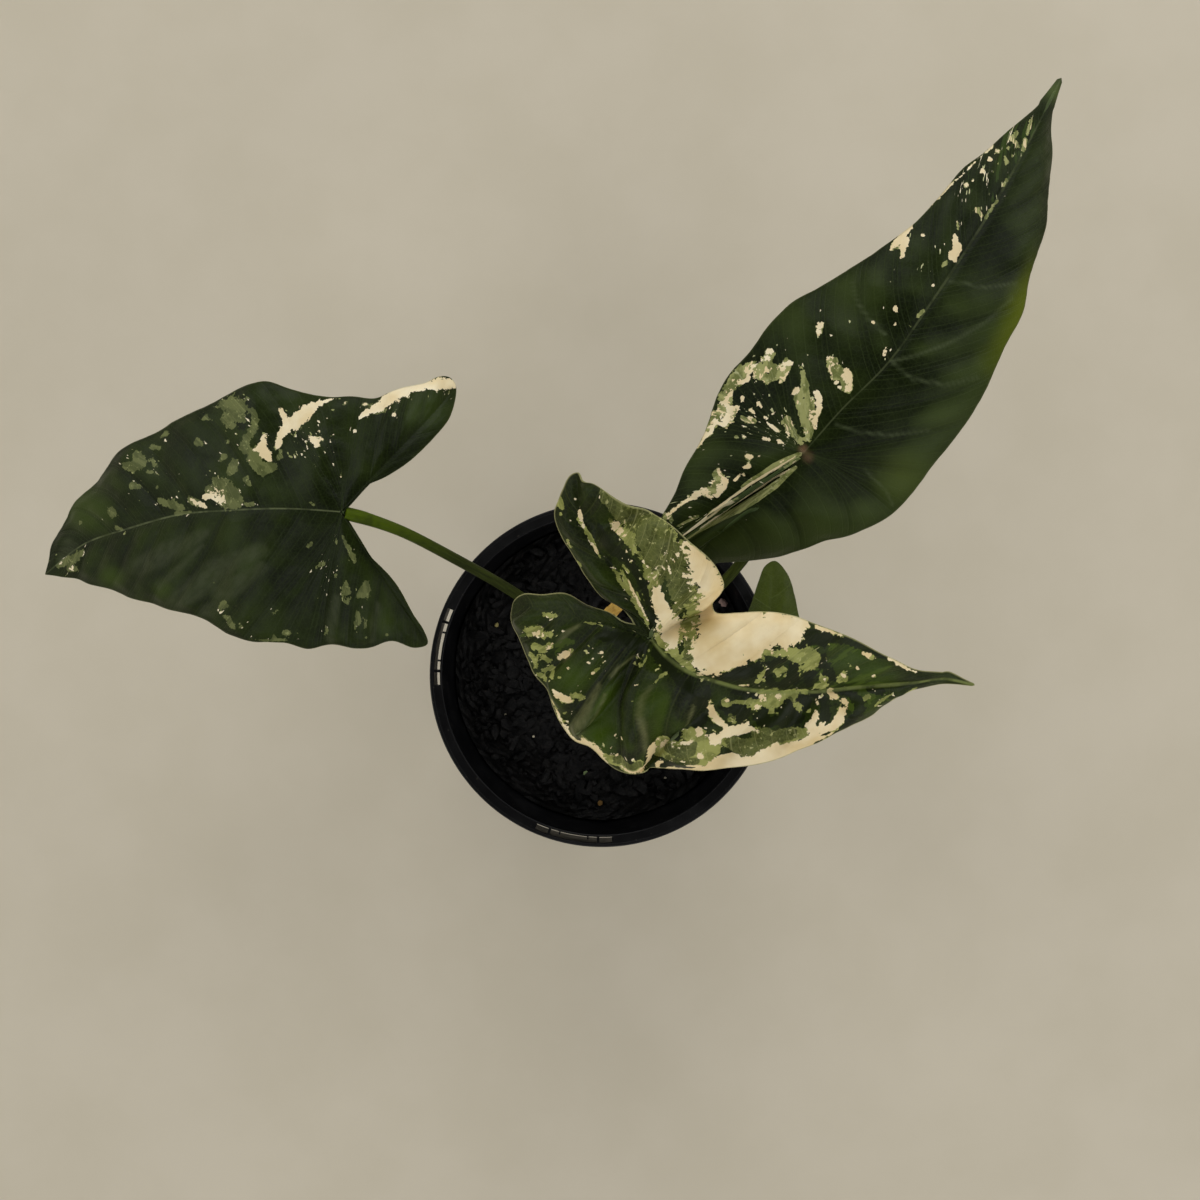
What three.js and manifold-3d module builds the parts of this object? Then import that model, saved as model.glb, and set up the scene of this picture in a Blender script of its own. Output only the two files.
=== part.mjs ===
// A young variegated alocasia in a round black nursery pot: the pot, its potting mix, the crown, four leaves
// (each a petiole and an arrow-shaped blade) and the yellow stump of an old petiole.
// Millimetres, +Z up. The origin is the middle of the pot's underside, and +Y is the top of the plan view.
import * as THREE from "three";
import { mergeVertices } from "three/addons/utils/BufferGeometryUtils.js";
import Module from "manifold-3d";

const wasm = await Module();
wasm.setup();

// Driving dimensions
const pot = {
  height: 90,
  rimRadius: 52.5,
  skirtThickness: 1.1,
  skirtDepth: 10,
  ledgeThickness: 1.4,
  wallThickness: 1,
  wallTopRadius: 49,
  shoulderHeight: 74,
  shoulderRadius: 47.6,
  neckRadius: 46.6,
  baseRadius: 36,
  baseThickness: 1.8,
  edgeRound: 0.6,
  sides: 72,
};
const rimSlots = {
  groups: 4,
  firstAngle: 80,
  innerRadius: 49.35,
  outerRadius: 51.2,
  // From the middle of a group outwards, in degrees: the long cell, the short cell and the end cell.
  cells: [[-4.7, 4.7], [5.3, 8.2], [9.1, 13.5]],
  nibDepth: 0.9,
  nibHalfAngle: 0.3,
};
const drainHoles = { rings: [{ count: 8, radius: 28.5, size: 3.4 }, { count: 4, radius: 13, size: 3 }], sides: 12 };
const mix = { top: 77, gap: 0.3, rings: 9, sides: 40, swell: 1.1, deepest: 1, chunks: 70, chunkSize: 2.6, seed: 11 };
const crown = { x: 5, y: 3.5, radius: 9.6, bottom: 60, waist: 13, top: 85, sides: 20, gap: 0.3 };
const blade = { thickness: 0.75, keel: 1.1, rows: [0, 0.1, 0.36, 0.68, 1] };
const columns = { front: 14, lobe: 7 };
const stalk = { sides: 10, stepsPerPoint: 2 };

// The leaves. A margin runs from the tip round the basal lobe to the notch behind the petiole, and each of its points is
// [x, y, z, swell]: the swell lifts or sinks the blade halfway between that point and the rib that feeds it.
// shoulder and lobe say which margin points stand beside the petiole and at the lobe's end.
const leaves = {
  left: {
    midrib: [[-157, 30, 117], [-142, 38, 127], [-126, 41.5, 138], [-108.5, 44.5, 149], [-92.5, 45, 158], [-77, 45, 164],
      [-63, 44, 167]],
    halves: [
      {
        rib: [[-56, 52, 166], [-48, 61, 163.5], [-41, 70, 158]],
        margin: [[-154, 38, 119, 0], [-147, 48, 123, 0.5], [-138, 54.5, 129, 1], [-128, 62.5, 136, 1.5],
          [-116, 67, 142, 1], [-106, 70.5, 147, 2], [-97, 74, 151, 1], [-88.5, 76.5, 155, 2], [-84, 77.5, 156, 1],
          [-77.5, 75.5, 156, 0.5], [-68, 73, 158.5, 2], [-62, 73, 158.5, 0], [-57, 73, 158, 1], [-51, 75, 157, 1.5],
          [-45, 77, 156, 1], [-38.5, 79, 153, 0.5], [-37, 77, 152, 0], [-37.5, 70, 154, 0.5], [-40, 64.5, 157, 0.5],
          [-45, 58.5, 160, 0.5], [-51.5, 53, 163, 0.5], [-57.5, 50, 165, 0.2], [-61.5, 46.5, 166.5, 0]],
        shoulder: 11,
        lobe: 16,
      },
      {
        rib: [[-58.5, 36, 164.5], [-53.5, 27, 160], [-48, 17, 151.5]],
        margin: [[-149.5, 29, 119, 0], [-140, 27, 124, 0.5], [-129, 24, 130, 1], [-118, 21, 136, 2],
          [-108, 19, 141, 1], [-101, 16.5, 144, 0.5], [-95, 13.5, 146, 2], [-89.5, 12, 148, 1.5], [-80.5, 12, 150, 0],
          [-75, 10.5, 149.5, 0.5], [-67.5, 11.5, 152, 2], [-59.5, 10.5, 151, 1], [-53, 12.5, 152, 0],
          [-48, 10.5, 148, 0.5], [-45, 11.5, 146, 0], [-45.5, 15, 148, 0.2], [-47.5, 19, 151, 0.5],
          [-50, 25, 155, 0.5], [-52.5, 29, 158, 0.5], [-56, 33, 161, 0.5], [-59.5, 36.5, 163.5, 0.2],
          [-62.5, 41.5, 166, 0]],
        shoulder: 9,
        lobe: 14,
      },
    ],
    petiole: {
      path: [[-0.5, 5, 80], [-4, 8, 92], [-10, 12.5, 104], [-23, 23.6, 125], [-39, 33, 146], [-50, 39.5, 157],
        [-57.5, 42.6, 163], [-61, 43.5, 165]],
      radii: [2.3, 2.1, 1.8, 1.5, 1.4, 1.4, 1.5, 1.5],
    },
  },
  long: {
    midrib: [[103, 140, 186], [97.5, 130.5, 190.5], [90, 118, 197], [80, 102, 203], [69, 86, 208], [58, 71, 211],
      [48.5, 61.5, 212], [41, 53, 212]],
    halves: [
      {
        rib: [[28, 44.5, 209], [18, 39, 205]],
        margin: [[97, 133, 189, 0], [90, 126.5, 193, 0.3], [83, 120, 197, 0.5], [76.5, 114.5, 200, 0.8],
          [72, 109, 201, 1], [63, 100, 203.5, 1.5], [57, 95.5, 204, 1.5], [51, 92, 204, 2], [45.5, 88.5, 203, 1.5],
          [40, 85.5, 202, 2], [35, 81, 201, 1.5], [31, 75.5, 200, 2], [27.5, 71.5, 200, 1.5], [25, 67.5, 200, 1],
          [21.5, 58.5, 201, 1.5], [20, 55, 201, 1], [16.5, 49, 202, 1], [14, 43, 202, 0.8], [12, 39.5, 201, 0.5],
          [11, 36, 200, 0], [13, 33.8, 201, 0], [17, 36, 204, 0]],
        shoulder: 13,
        lobe: 19,
      },
      {
        rib: [[30, 41, 209], [22, 34.5, 203]],
        margin: [[100.5, 133, 188, 0], [99.5, 127.5, 189.5, 0.3], [98.5, 119, 192, 0.8], [97, 110.5, 194.5, 1],
          [94.5, 100, 197, 1.5], [91, 90.5, 199, 1.5], [89, 83.5, 200, 2], [84.5, 74.5, 201, 1.5], [80.5, 67, 202, 2],
          [77.5, 61, 202, 1.5], [73.5, 55.5, 201, 1.5], [69, 50, 200, 2], [66, 46, 200, 1], [62.5, 41.5, 199, 1],
          [59.5, 39.5, 199, 1.5], [53.5, 37, 199, 1.5], [47.5, 35.5, 199, 1], [43, 33.5, 199, 1],
          [38, 32, 198, 1.2], [32.5, 31.5, 198, 1], [27.5, 31, 198, 0.8], [23.5, 30.5, 198, 0.5], [19.5, 30, 198, 0],
          [16.5, 31.8, 200, 0], [17, 36, 204, 0]],
        shoulder: 12,
        lobe: 22,
      },
    ],
    petiole: {
      path: [[10, 4, 80], [12.5, 6.5, 92], [18, 12, 106], [26.5, 20.8, 123], [34, 30, 142], [39, 40, 168],
        [41.2, 48.5, 192], [41, 52.8, 209.6]],
      radii: [2.4, 2.2, 1.8, 1.55, 1.4, 1.35, 1.35, 1.5],
    },
  },
  cream: {
    midrib: [[82, 4, 191], [74.5, 5.5, 194], [67.5, 5, 198], [54, 4.5, 204], [45, 4, 209], [36.5, 4, 213], [28, 5, 217],
      [22.5, 6.5, 219], [17, 8.5, 221], [12.5, 11.5, 222], [9.5, 15, 222]],
    halves: [
      {
        rib: [[8.5, 19, 222.5], [3.5, 27.5, 221], [-1, 33, 221], [-4.5, 40, 222]],
        margin: [[77, 6.5, 193, 0.2], [67, 8, 199, 0.5], [60.5, 10.5, 205, 1.5], [52, 14.5, 211, 1],
          [44, 17.5, 216, 2], [38, 19.5, 220, 3], [32, 20.5, 222, 3], [26, 20.5, 222, 1.5], [22, 20.5, 219.5, -1],
          [21.5, 22, 220, -2], [23, 25, 227, 1], [22.5, 26.5, 230, 2], [20, 30, 233, 1.5], [15, 34.5, 234, 1.5],
          [11, 38, 232, 2.5], [8, 39.5, 230, -1.5], [5, 40.5, 229, -2], [1, 43, 229, 1], [-2, 45, 227, 1],
          [-4, 45.5, 225.5, 0], [-5, 47.5, 223, 0], [-6.5, 47, 222, 0], [-8.5, 43, 220, 0.5], [-9.5, 40, 218, 0.5],
          [-9, 37.5, 217, 0.5], [-7, 33, 216, 0.5], [-4, 28, 216, 0.5], [0, 23.5, 217, 0.5], [3, 21.5, 219, 0.3],
          [5.3, 19.7, 221, 0], [6.2, 18.1, 222, 0]],
        shoulder: 9,
        lobe: 20,
      },
      {
        rib: [[-1, 19, 220], [-9, 20.5, 216], [-15, 21.5, 212]],
        margin: [[74.5, 4.5, 193, 0], [68, 3.5, 196, 0.3], [63.5, 2, 198, 0.5], [57, -1.5, 201, 1],
          [50.5, -4, 204, 1.5], [45.5, -6.5, 206, 1], [38.5, -9.5, 207, 2], [33.5, -11, 207, 0.5],
          [28, -11.5, 207, 2], [21.5, -12.5, 206, 0], [15, -12.5, 206, 2.5], [9.5, -12, 208, -0.5],
          [7, -13.5, 205, -0.5], [3, -12.5, 205, 1.5], [0, -10, 207, 2.5], [-2.5, -7.5, 209, 0],
          [-6, -6.5, 206, -0.5], [-8, -4.5, 206, 1], [-10.5, 0.5, 208, 2.5], [-11.5, 4.5, 209, 1],
          [-13.5, 7, 209, 0], [-16, 11.5, 208, 1], [-18, 15.5, 207, 1], [-19, 19.5, 206, 0.5],
          [-18.5, 22.5, 207, 0], [-16.5, 24, 209, 0.3], [-12.5, 24, 212, 0.5], [-7.5, 24, 215, 0.5],
          [-3, 22, 218, 0.5], [1, 20.5, 220, 0.3], [3.7, 18.7, 221.3, 0], [6.2, 18.1, 222, 0]],
        shoulder: 17,
        lobe: 24,
      },
    ],
    petiole: {
      path: [[5, 2.5, 80], [4.6, 2, 98], [4, 2.2, 125], [4, 4, 160], [6, 9, 195], [8.6, 13.6, 213], [9.4, 14.9, 219.5]],
      radii: [2.4, 2.1, 1.8, 1.6, 1.4, 1.35, 1.5],
    },
  },
  small: {
    midrib: [[68, -12, 105], [61, -6, 111], [53, 0.5, 115.5], [45, 7, 118]],
    halves: [
      {
        rib: [[47.5, 19, 116]],
        margin: [[68, -5, 107, 0], [66, 3, 110, 0.5], [61, 11, 112, 1], [56.5, 17, 113, 0.5], [55, 24, 113.5, 0.5],
          [53, 30, 113, 0.3], [49.5, 34, 112, 0], [46.5, 32.5, 112.5, 0], [44.5, 28, 113.5, 0.2],
          [41.5, 20, 115, 0.3], [37, 12, 116, 0]],
        shoulder: 2,
        lobe: 6,
      },
      {
        rib: [[32, 3.5, 114.5]],
        margin: [[60, -13.5, 107, 0], [51, -13.5, 109, 0.5], [43, -9.5, 111, 1], [35, -7, 111.5, 0.5],
          [27, -6, 111, 0.5], [22, -4, 110, 0.2], [19, 0, 109.5, 0], [21, 3.5, 110.5, 0], [27, 6.5, 113, 0.3],
          [37, 12, 116, 0]],
        shoulder: 2,
        lobe: 6,
      },
    ],
    petiole: {
      path: [[8.2, -2.6, 79.5], [11, -2, 88], [18, 0, 97], [30, 3.5, 106.5], [38, 5.4, 111.2], [43.5, 6.8, 114.2]],
      radii: [2, 1.8, 1.4, 1.2, 1.1, 1.2],
    },
  },
};
const oldPetiole = {
  path: [[2.4, 9.4, 80], [0, 12.5, 94], [-0.5, 16, 108], [3, 20, 121], [8, 24.5, 128], [12, 28.5, 131]],
  radii: [1.9, 1.8, 1.8, 1.7, 1.4, 0.9],
};

// Colours, as sRGB hex
const colours = {
  pot: "#101113",
  mix: "#1b1613",
  crown: "#4b5a2c",
  petiole: "#46602a",
  oldPetiole: "#c69a3c",
  darkBlade: "#1c3016",
  creamBlade: "#8d9865",
  smallBlade: "#33471a",
};

const vector = ([x, y, z]) => new THREE.Vector3(x, y, z);
const radians = THREE.MathUtils.degToRad;
const material = (color, roughness) => new THREE.MeshStandardMaterial({ color, roughness, metalness: 0 });

// A repeatable run of random numbers from 0 to 1.
function randomRun(seed) {
  let state = seed;
  return () => {
    state = (state * 48271) % 2147483647;
    return state / 2147483647;
  };
}

function meshOf(name, geometry, color, roughness) {
  const mesh = new THREE.Mesh(geometry, material(color, roughness));
  mesh.name = name;
  return mesh;
}

// Between three.js geometry and solids that can be cut and joined.
function toSolid(geometry) {
  const bare = new THREE.BufferGeometry();
  bare.setAttribute("position", geometry.getAttribute("position").clone());
  if (geometry.index) bare.setIndex(geometry.index.clone());
  const merged = mergeVertices(bare, 1e-4);
  return new wasm.Manifold(new wasm.Mesh({
    numProp: 3,
    vertProperties: new Float32Array(merged.getAttribute("position").array),
    triVerts: new Uint32Array(merged.index.array),
  }));
}

function toGeometry(solid) {
  const { vertProperties, triVerts } = solid.simplify(0.01).getMesh();
  const geometry = new THREE.BufferGeometry();
  geometry.setAttribute("position", new THREE.BufferAttribute(new Float32Array(vertProperties), 3));
  geometry.setIndex(new THREE.BufferAttribute(new Uint32Array(triVerts), 1));
  return geometry;
}

// A curve through points that can be walked by its length, whole or between two of its points.
class MeasuredCurve {
  constructor(points) {
    this.curve = new THREE.CatmullRomCurve3(points.map(vector), false, "centripetal");
    this.count = points.length;
    this.extra = points.map((p) => p[3] ?? 0);
    const steps = 24 * (points.length - 1);
    this.places = [0];
    this.lengths = [0];
    let last = this.curve.getPoint(0);
    for (let i = 1; i <= steps; i++) {
      const here = this.curve.getPoint(i / steps);
      this.places.push(i / steps);
      this.lengths.push(this.lengths[i - 1] + here.distanceTo(last));
      last = here;
    }
  }

  lengthAt(place) {
    return this.lengths[Math.round(place * (this.lengths.length - 1))];
  }

  // The point a share of the way, by length, from one of the curve's points to another, with its fourth number.
  between(from, to, share) {
    const start = this.lengthAt(from / (this.count - 1));
    const end = this.lengthAt(to / (this.count - 1));
    const wanted = start + (end - start) * share;
    let i = this.lengths.findIndex((length) => length >= wanted);
    if (i < 1) i = 1;
    const part = (wanted - this.lengths[i - 1]) / (this.lengths[i] - this.lengths[i - 1] || 1);
    const place = this.places[i - 1] + (this.places[i] - this.places[i - 1]) * part;
    const slot = Math.min(place * (this.count - 1), this.count - 1 - 1e-9);
    const low = Math.floor(slot);
    const swell = this.extra[low] + (this.extra[low + 1] - this.extra[low]) * (slot - low);
    return { point: this.curve.getPoint(place), swell };
  }
}

// One half of a blade as a sheet of columns, each from the rib that feeds it to the margin.
function halfBlade(leaf, half) {
  const tip = leaf.midrib[0];
  const root = leaf.midrib.at(-1);
  const lobeEnd = half.margin[half.lobe];
  const midrib = new MeasuredCurve(leaf.midrib);
  const rib = new MeasuredCurve([root, ...half.rib, lobeEnd.slice(0, 3)]);
  const margin = new MeasuredCurve([[...tip, 0], ...half.margin]);
  const shoulder = half.shoulder + 1;
  const lobe = half.lobe + 1;
  const made = [];
  const add = (from, to, inner, outer) => made.push({ inner, outer: margin.between(from, to, outer) });
  for (let i = 0; i < columns.front; i++) {
    const share = i / columns.front;
    add(0, shoulder, midrib.between(0, midrib.count - 1, share).point, share);
  }
  for (let i = 0; i < columns.lobe; i++) {
    const share = i / columns.lobe;
    add(shoulder, lobe, rib.between(0, rib.count - 1, share).point, share);
  }
  for (let i = 0; i <= columns.lobe; i++) {
    const share = i / columns.lobe;
    add(lobe, margin.count - 1, rib.between(0, rib.count - 1, 1 - share).point, share);
  }
  return made.map(({ inner, outer }) => blade.rows.map((v) => {
    const point = inner.clone().lerp(outer.point, v);
    point.z += outer.swell * 4 * v * (1 - v);
    return point;
  }));
}

// A leaf's blade: both halves as one sheet, thickened downwards, with a keel under its ribs.
function bladeGeometry(leaf) {
  const points = [];
  const depths = [];
  const found = new Map();
  const cell = 1e-3;
  const indexOf = (p, depth) => {
    const key = [p.x, p.y, p.z].map((c) => Math.round(c / cell)).join();
    if (!found.has(key)) {
      found.set(key, points.length);
      points.push(p);
      depths.push(depth);
    }
    const index = found.get(key);
    depths[index] = Math.max(depths[index], depth);
    return index;
  };
  const tip = vector(leaf.midrib[0]);
  const reach = tip.distanceTo(vector(leaf.midrib.at(-1)));
  const faces = [];
  for (const half of leaf.halves) {
    const lobeEnd = vector(half.margin[half.lobe]);
    const grid = halfBlade(leaf, half).map((column) => column.map((p, row) => {
      const fade = Math.min(p.distanceTo(tip), p.distanceTo(lobeEnd), reach / 2) / (reach / 2);
      return indexOf(p, blade.thickness + (row === 0 ? blade.keel * fade : 0));
    }));
    const sheet = [];
    for (let i = 0; i + 1 < grid.length; i++) {
      for (let j = 0; j + 1 < blade.rows.length; j++) {
        const [a, b, c, d] = [grid[i][j], grid[i + 1][j], grid[i + 1][j + 1], grid[i][j + 1]];
        sheet.push([a, b, c], [a, c, d]);
      }
    }
    const sound = sheet.filter(([a, b, c]) => a !== b && b !== c && a !== c);
    const rise = sound.reduce((sum, f) => sum + faceNormal(points, f).z, 0);
    faces.push(...sound.map(([a, b, c]) => (rise > 0 ? [a, b, c] : [a, c, b])));
  }
  return thicken(points, faces, depths);
}

function faceNormal(points, [a, b, c]) {
  const first = points[b].clone().sub(points[a]);
  return first.cross(points[c].clone().sub(points[a]));
}

// A sheet of triangles made solid: a copy below it, and a wall round its edge.
function thicken(points, faces, depths) {
  const normals = points.map(() => new THREE.Vector3());
  for (const face of faces) {
    const normal = faceNormal(points, face);
    face.forEach((i) => normals[i].add(normal));
  }
  const below = points.map((p, i) => p.clone().addScaledVector(normals[i].normalize(), -depths[i]));
  const count = points.length;
  const edges = new Set(faces.flatMap(([a, b, c]) => [`${a},${b}`, `${b},${c}`, `${c},${a}`]));
  const index = faces.flatMap(([a, b, c]) => [a, b, c, a + count, c + count, b + count]);
  for (const edge of edges) {
    const [a, b] = edge.split(",").map(Number);
    if (!edges.has(`${b},${a}`)) index.push(a, a + count, b + count, a, b + count, b);
  }
  const geometry = new THREE.BufferGeometry().setFromPoints([...points, ...below]);
  geometry.setIndex(index);
  return geometry;
}

// A round stalk: a cylinder bent along a curve, whose radius changes along it. Growing it makes its socket.
function stalkGeometry({ path, radii }, grow = 0) {
  const curve = new THREE.CatmullRomCurve3(path.map(vector), false, "centripetal");
  const steps = (path.length - 1) * stalk.stepsPerPoint;
  const { tangents, normals, binormals } = curve.computeFrenetFrames(steps);
  const geometry = new THREE.CylinderGeometry(1, 1, steps, stalk.sides, steps).translate(0, steps / 2, 0);
  const position = geometry.getAttribute("position");
  for (let i = 0; i < position.count; i++) {
    const step = Math.round(position.getY(i));
    const slot = (step / steps) * (radii.length - 1);
    const low = Math.min(Math.floor(slot), radii.length - 2);
    const radius = THREE.MathUtils.lerp(radii[low], radii[low + 1], slot - low) + grow;
    const point = curve.getPoint(step / steps)
      .addScaledVector(tangents[step], step === 0 ? -grow : 0)
      .addScaledVector(normals[step], position.getZ(i) * radius)
      .addScaledVector(binormals[step], position.getX(i) * radius);
    position.setXYZ(i, point.x, point.y, point.z);
  }
  geometry.computeVertexNormals();
  return geometry;
}

// A turned shape: its profile is [radius, height] pairs, and the lathe's own axis is stood up along Z.
function turned(profile, sides) {
  const geometry = new THREE.LatheGeometry(profile.map(([r, z]) => new THREE.Vector2(r, z)), sides);
  return geometry.rotateX(Math.PI / 2);
}

// An upright block over part of a ring, between two radii and two angles.
function ringBlock(inner, outer, fromDegrees, toDegrees, bottom, top) {
  const shape = new THREE.Shape();
  shape.absarc(0, 0, outer, radians(fromDegrees), radians(toDegrees), false);
  shape.absarc(0, 0, inner, radians(toDegrees), radians(fromDegrees), true);
  shape.closePath();
  const geometry = new THREE.ExtrudeGeometry(shape, { depth: top - bottom, bevelEnabled: false, curveSegments: 3 });
  return geometry.translate(0, 0, bottom);
}

function wallRadius(z) {
  const share = (z - pot.baseThickness) / (pot.shoulderHeight - pot.baseThickness);
  return pot.baseRadius + (pot.neckRadius - pot.baseRadius) * share;
}

function makePot() {
  const { height, rimRadius, edgeRound, wallThickness: wall, baseThickness: base } = pot;
  const skirtInner = rimRadius - pot.skirtThickness;
  const ledgeBottom = height - pot.ledgeThickness;
  const skirtBottom = height - pot.skirtDepth;
  const profile = [
    [0, 0],
    [pot.baseRadius - 1, 0],
    [pot.baseRadius, 1],
    [wallRadius(pot.shoulderHeight), pot.shoulderHeight],
    [pot.shoulderRadius, pot.shoulderHeight + 1],
    [pot.wallTopRadius, ledgeBottom],
    [skirtInner, ledgeBottom],
    [skirtInner, skirtBottom],
    [rimRadius - 0.2, skirtBottom],
    [rimRadius, skirtBottom + 0.4],
    [rimRadius, height - edgeRound],
    [rimRadius - edgeRound * 0.3, height - edgeRound * 0.3],
    [rimRadius - edgeRound, height],
    [pot.wallTopRadius, height],
    [pot.wallTopRadius - wall, height - wall],
    [pot.shoulderRadius - wall, pot.shoulderHeight + 1],
    [wallRadius(pot.shoulderHeight) - wall, pot.shoulderHeight],
    [wallRadius(base) - wall, base],
    [0, base],
  ];
  let solid = toSolid(turned(profile, pot.sides));
  for (let group = 0; group < rimSlots.groups; group++) {
    const middle = rimSlots.firstAngle + (group * 360) / rimSlots.groups;
    for (const [from, to] of rimSlots.cells) {
      for (const side of from < 0 ? [1] : [1, -1]) {
        const ends = [middle + side * from, middle + side * to].sort((a, b) => a - b);
        const block = ringBlock(rimSlots.innerRadius, rimSlots.outerRadius, ...ends, ledgeBottom - 1, height + 1);
        solid = solid.subtract(toSolid(block));
      }
    }
    for (const side of [1, -1]) {
      const gapMiddle = middle + side * 5;
      const past = rimSlots.nibHalfAngle + 0.2;
      const block = ringBlock(rimSlots.innerRadius + rimSlots.nibDepth, rimSlots.outerRadius, gapMiddle - past,
        gapMiddle + past, ledgeBottom - 1, height + 1);
      solid = solid.subtract(toSolid(block));
    }
  }
  for (const { count, radius, size } of drainHoles.rings) {
    for (let i = 0; i < count; i++) {
      const turn = ((i + 0.5) / count) * 2 * Math.PI;
      const hole = new THREE.CylinderGeometry(size, size, base * 4, drainHoles.sides).rotateX(Math.PI / 2);
      hole.translate(radius * Math.cos(turn), radius * Math.sin(turn), 0);
      solid = solid.subtract(toSolid(hole));
    }
  }
  return meshOf("nursery_pot", toGeometry(solid), colours.pot, 0.45);
}

function crownProfile(grow) {
  const { radius, bottom, top } = crown;
  return [
    [0, bottom - grow],
    [radius * 0.55 + grow, bottom - grow],
    [radius * 0.95 + grow, bottom + 6],
    [radius + grow, bottom + crown.waist],
    [radius * 0.92 + grow, top - 5],
    [radius * 0.74 + grow, top - 1.2],
    [radius * 0.4, top + grow],
    [0, top + 0.4 + grow],
  ];
}

const sockets = [...Object.values(leaves).map((leaf) => leaf.petiole), oldPetiole];

function makeCrown() {
  let solid = toSolid(turned(crownProfile(0), crown.sides).translate(crown.x, crown.y, 0));
  for (const shape of sockets) solid = solid.subtract(toSolid(stalkGeometry(shape, crown.gap)));
  // The sockets leave loose slivers between them: only the body of the crown is kept.
  const [body] = solid.decompose().sort((a, b) => b.volume() - a.volume());
  return meshOf("crown", toGeometry(body), colours.crown, 0.6);
}

// How far the top of the potting mix rises above its mean level.
function mixRise(x, y) {
  const settled = Math.min(1, Math.hypot(x, y) / 10);
  return mix.swell * settled * (Math.sin(0.16 * x + 0.09 * y) + 0.6 * Math.cos(0.21 * x - 0.27 * y));
}

// The potting mix: a turned plug with an uneven top, chunks of bark sunk in it, and a hole where the crown stands.
function makeMix() {
  const random = randomRun(mix.seed);
  const bottom = pot.baseThickness + mix.gap;
  const clear = pot.wallThickness + mix.gap + 0.1;
  const topRadius = pot.shoulderRadius - clear;
  const profile = [
    [0, bottom],
    [wallRadius(bottom) - clear, bottom],
    [wallRadius(pot.shoulderHeight) - clear, pot.shoulderHeight + 0.3],
    [topRadius, pot.shoulderHeight + 1.6],
  ];
  for (let ring = mix.rings; ring >= 0; ring--) profile.push([(topRadius * ring) / mix.rings, mix.top]);
  const plug = turned(profile, mix.sides);
  const position = plug.getAttribute("position");
  for (let i = 0; i < position.count; i++) {
    const lift = position.getZ(i) > mix.top - 0.01 ? mixRise(position.getX(i), position.getY(i)) : 0;
    position.setZ(i, position.getZ(i) + Math.max(lift, -mix.deepest));
  }
  let solid = toSolid(plug);
  for (let i = 0; i < mix.chunks; i++) {
    const size = mix.chunkSize * (0.7 + 0.8 * random());
    const reach = (topRadius - size * 1.8) * Math.sqrt((i + 0.5) / mix.chunks);
    const turn = i * Math.PI * (3 - Math.sqrt(5));
    const [x, y] = [reach * Math.cos(turn), reach * Math.sin(turn)];
    const chunk = new THREE.OctahedronGeometry(size).scale(1.5, 1, 0.55);
    chunk.rotateX(0.8 * (random() - 0.5)).rotateZ(2 * Math.PI * random());
    solid = solid.add(toSolid(chunk.translate(x, y, mix.top + mixRise(x, y) + size * 0.1)));
  }
  const wellRadius = crown.radius + mix.gap + 0.1;
  const well = new THREE.CylinderGeometry(wellRadius, wellRadius, 30, crown.sides).rotateX(Math.PI / 2);
  solid = solid.subtract(toSolid(turned(crownProfile(mix.gap), crown.sides).translate(crown.x, crown.y, 0)));
  solid = solid.subtract(toSolid(well.translate(crown.x, crown.y, crown.bottom + crown.waist + 15)));
  return meshOf("potting_mix", toGeometry(solid), colours.mix, 0.95);
}

function makeLeaf(name, leaf) {
  const color = { cream: colours.creamBlade, small: colours.smallBlade }[name] ?? colours.darkBlade;
  const group = new THREE.Group();
  group.add(meshOf(`petiole_${name}`, stalkGeometry(leaf.petiole), colours.petiole, 0.5));
  group.add(meshOf(`blade_${name}`, bladeGeometry(leaf), color, 0.45));
  return group;
}

const plant = new THREE.Group();
plant.add(makeCrown());
for (const [name, leaf] of Object.entries(leaves)) plant.add(makeLeaf(name, leaf));
plant.add(meshOf("old_petiole", stalkGeometry(oldPetiole), colours.oldPetiole, 0.6));

const pottedAlocasia = new THREE.Group();
pottedAlocasia.add(makePot(), makeMix(), plant);

export default pottedAlocasia;
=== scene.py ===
# A young variegated alocasia in its black nursery pot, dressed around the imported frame.
# Pieces are worked out in millimetres and put into the mesh in metres. +Z is up; +Y is the top of the view.
import math
import random
from functools import partial
import bmesh
import bpy
import numpy as np
from mathutils import Euler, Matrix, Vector


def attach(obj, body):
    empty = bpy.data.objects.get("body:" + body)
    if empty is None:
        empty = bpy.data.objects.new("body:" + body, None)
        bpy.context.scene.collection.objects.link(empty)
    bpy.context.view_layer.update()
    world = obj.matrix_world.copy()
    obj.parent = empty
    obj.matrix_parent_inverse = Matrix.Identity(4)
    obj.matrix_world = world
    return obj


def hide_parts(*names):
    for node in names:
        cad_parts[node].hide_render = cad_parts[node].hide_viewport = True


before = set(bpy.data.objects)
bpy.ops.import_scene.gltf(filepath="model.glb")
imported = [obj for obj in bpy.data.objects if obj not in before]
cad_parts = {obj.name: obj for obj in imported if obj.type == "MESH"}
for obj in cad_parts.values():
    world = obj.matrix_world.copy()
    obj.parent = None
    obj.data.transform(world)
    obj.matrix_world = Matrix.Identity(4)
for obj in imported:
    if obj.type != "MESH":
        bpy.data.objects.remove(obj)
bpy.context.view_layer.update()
scene = bpy.context.scene
mm = 0.001
# the plan view that the paint is placed in, and the camera that sees it: place in mm, frame in pixels
plan = {"place": (-0.6, 22.8, 456), "sensor": 36, "lens": 36.09, "pixels": 1200}
print("frame loaded:", len(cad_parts), "nodes")


# Materials

def toLinear(hexColour):
    channels = [int(hexColour[i:i + 2], 16) / 255 for i in (1, 3, 5)]
    return tuple(c / 12.92 if c <= 0.04045 else ((c + 0.055) / 1.055) ** 2.4 for c in channels) + (1,)


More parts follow.
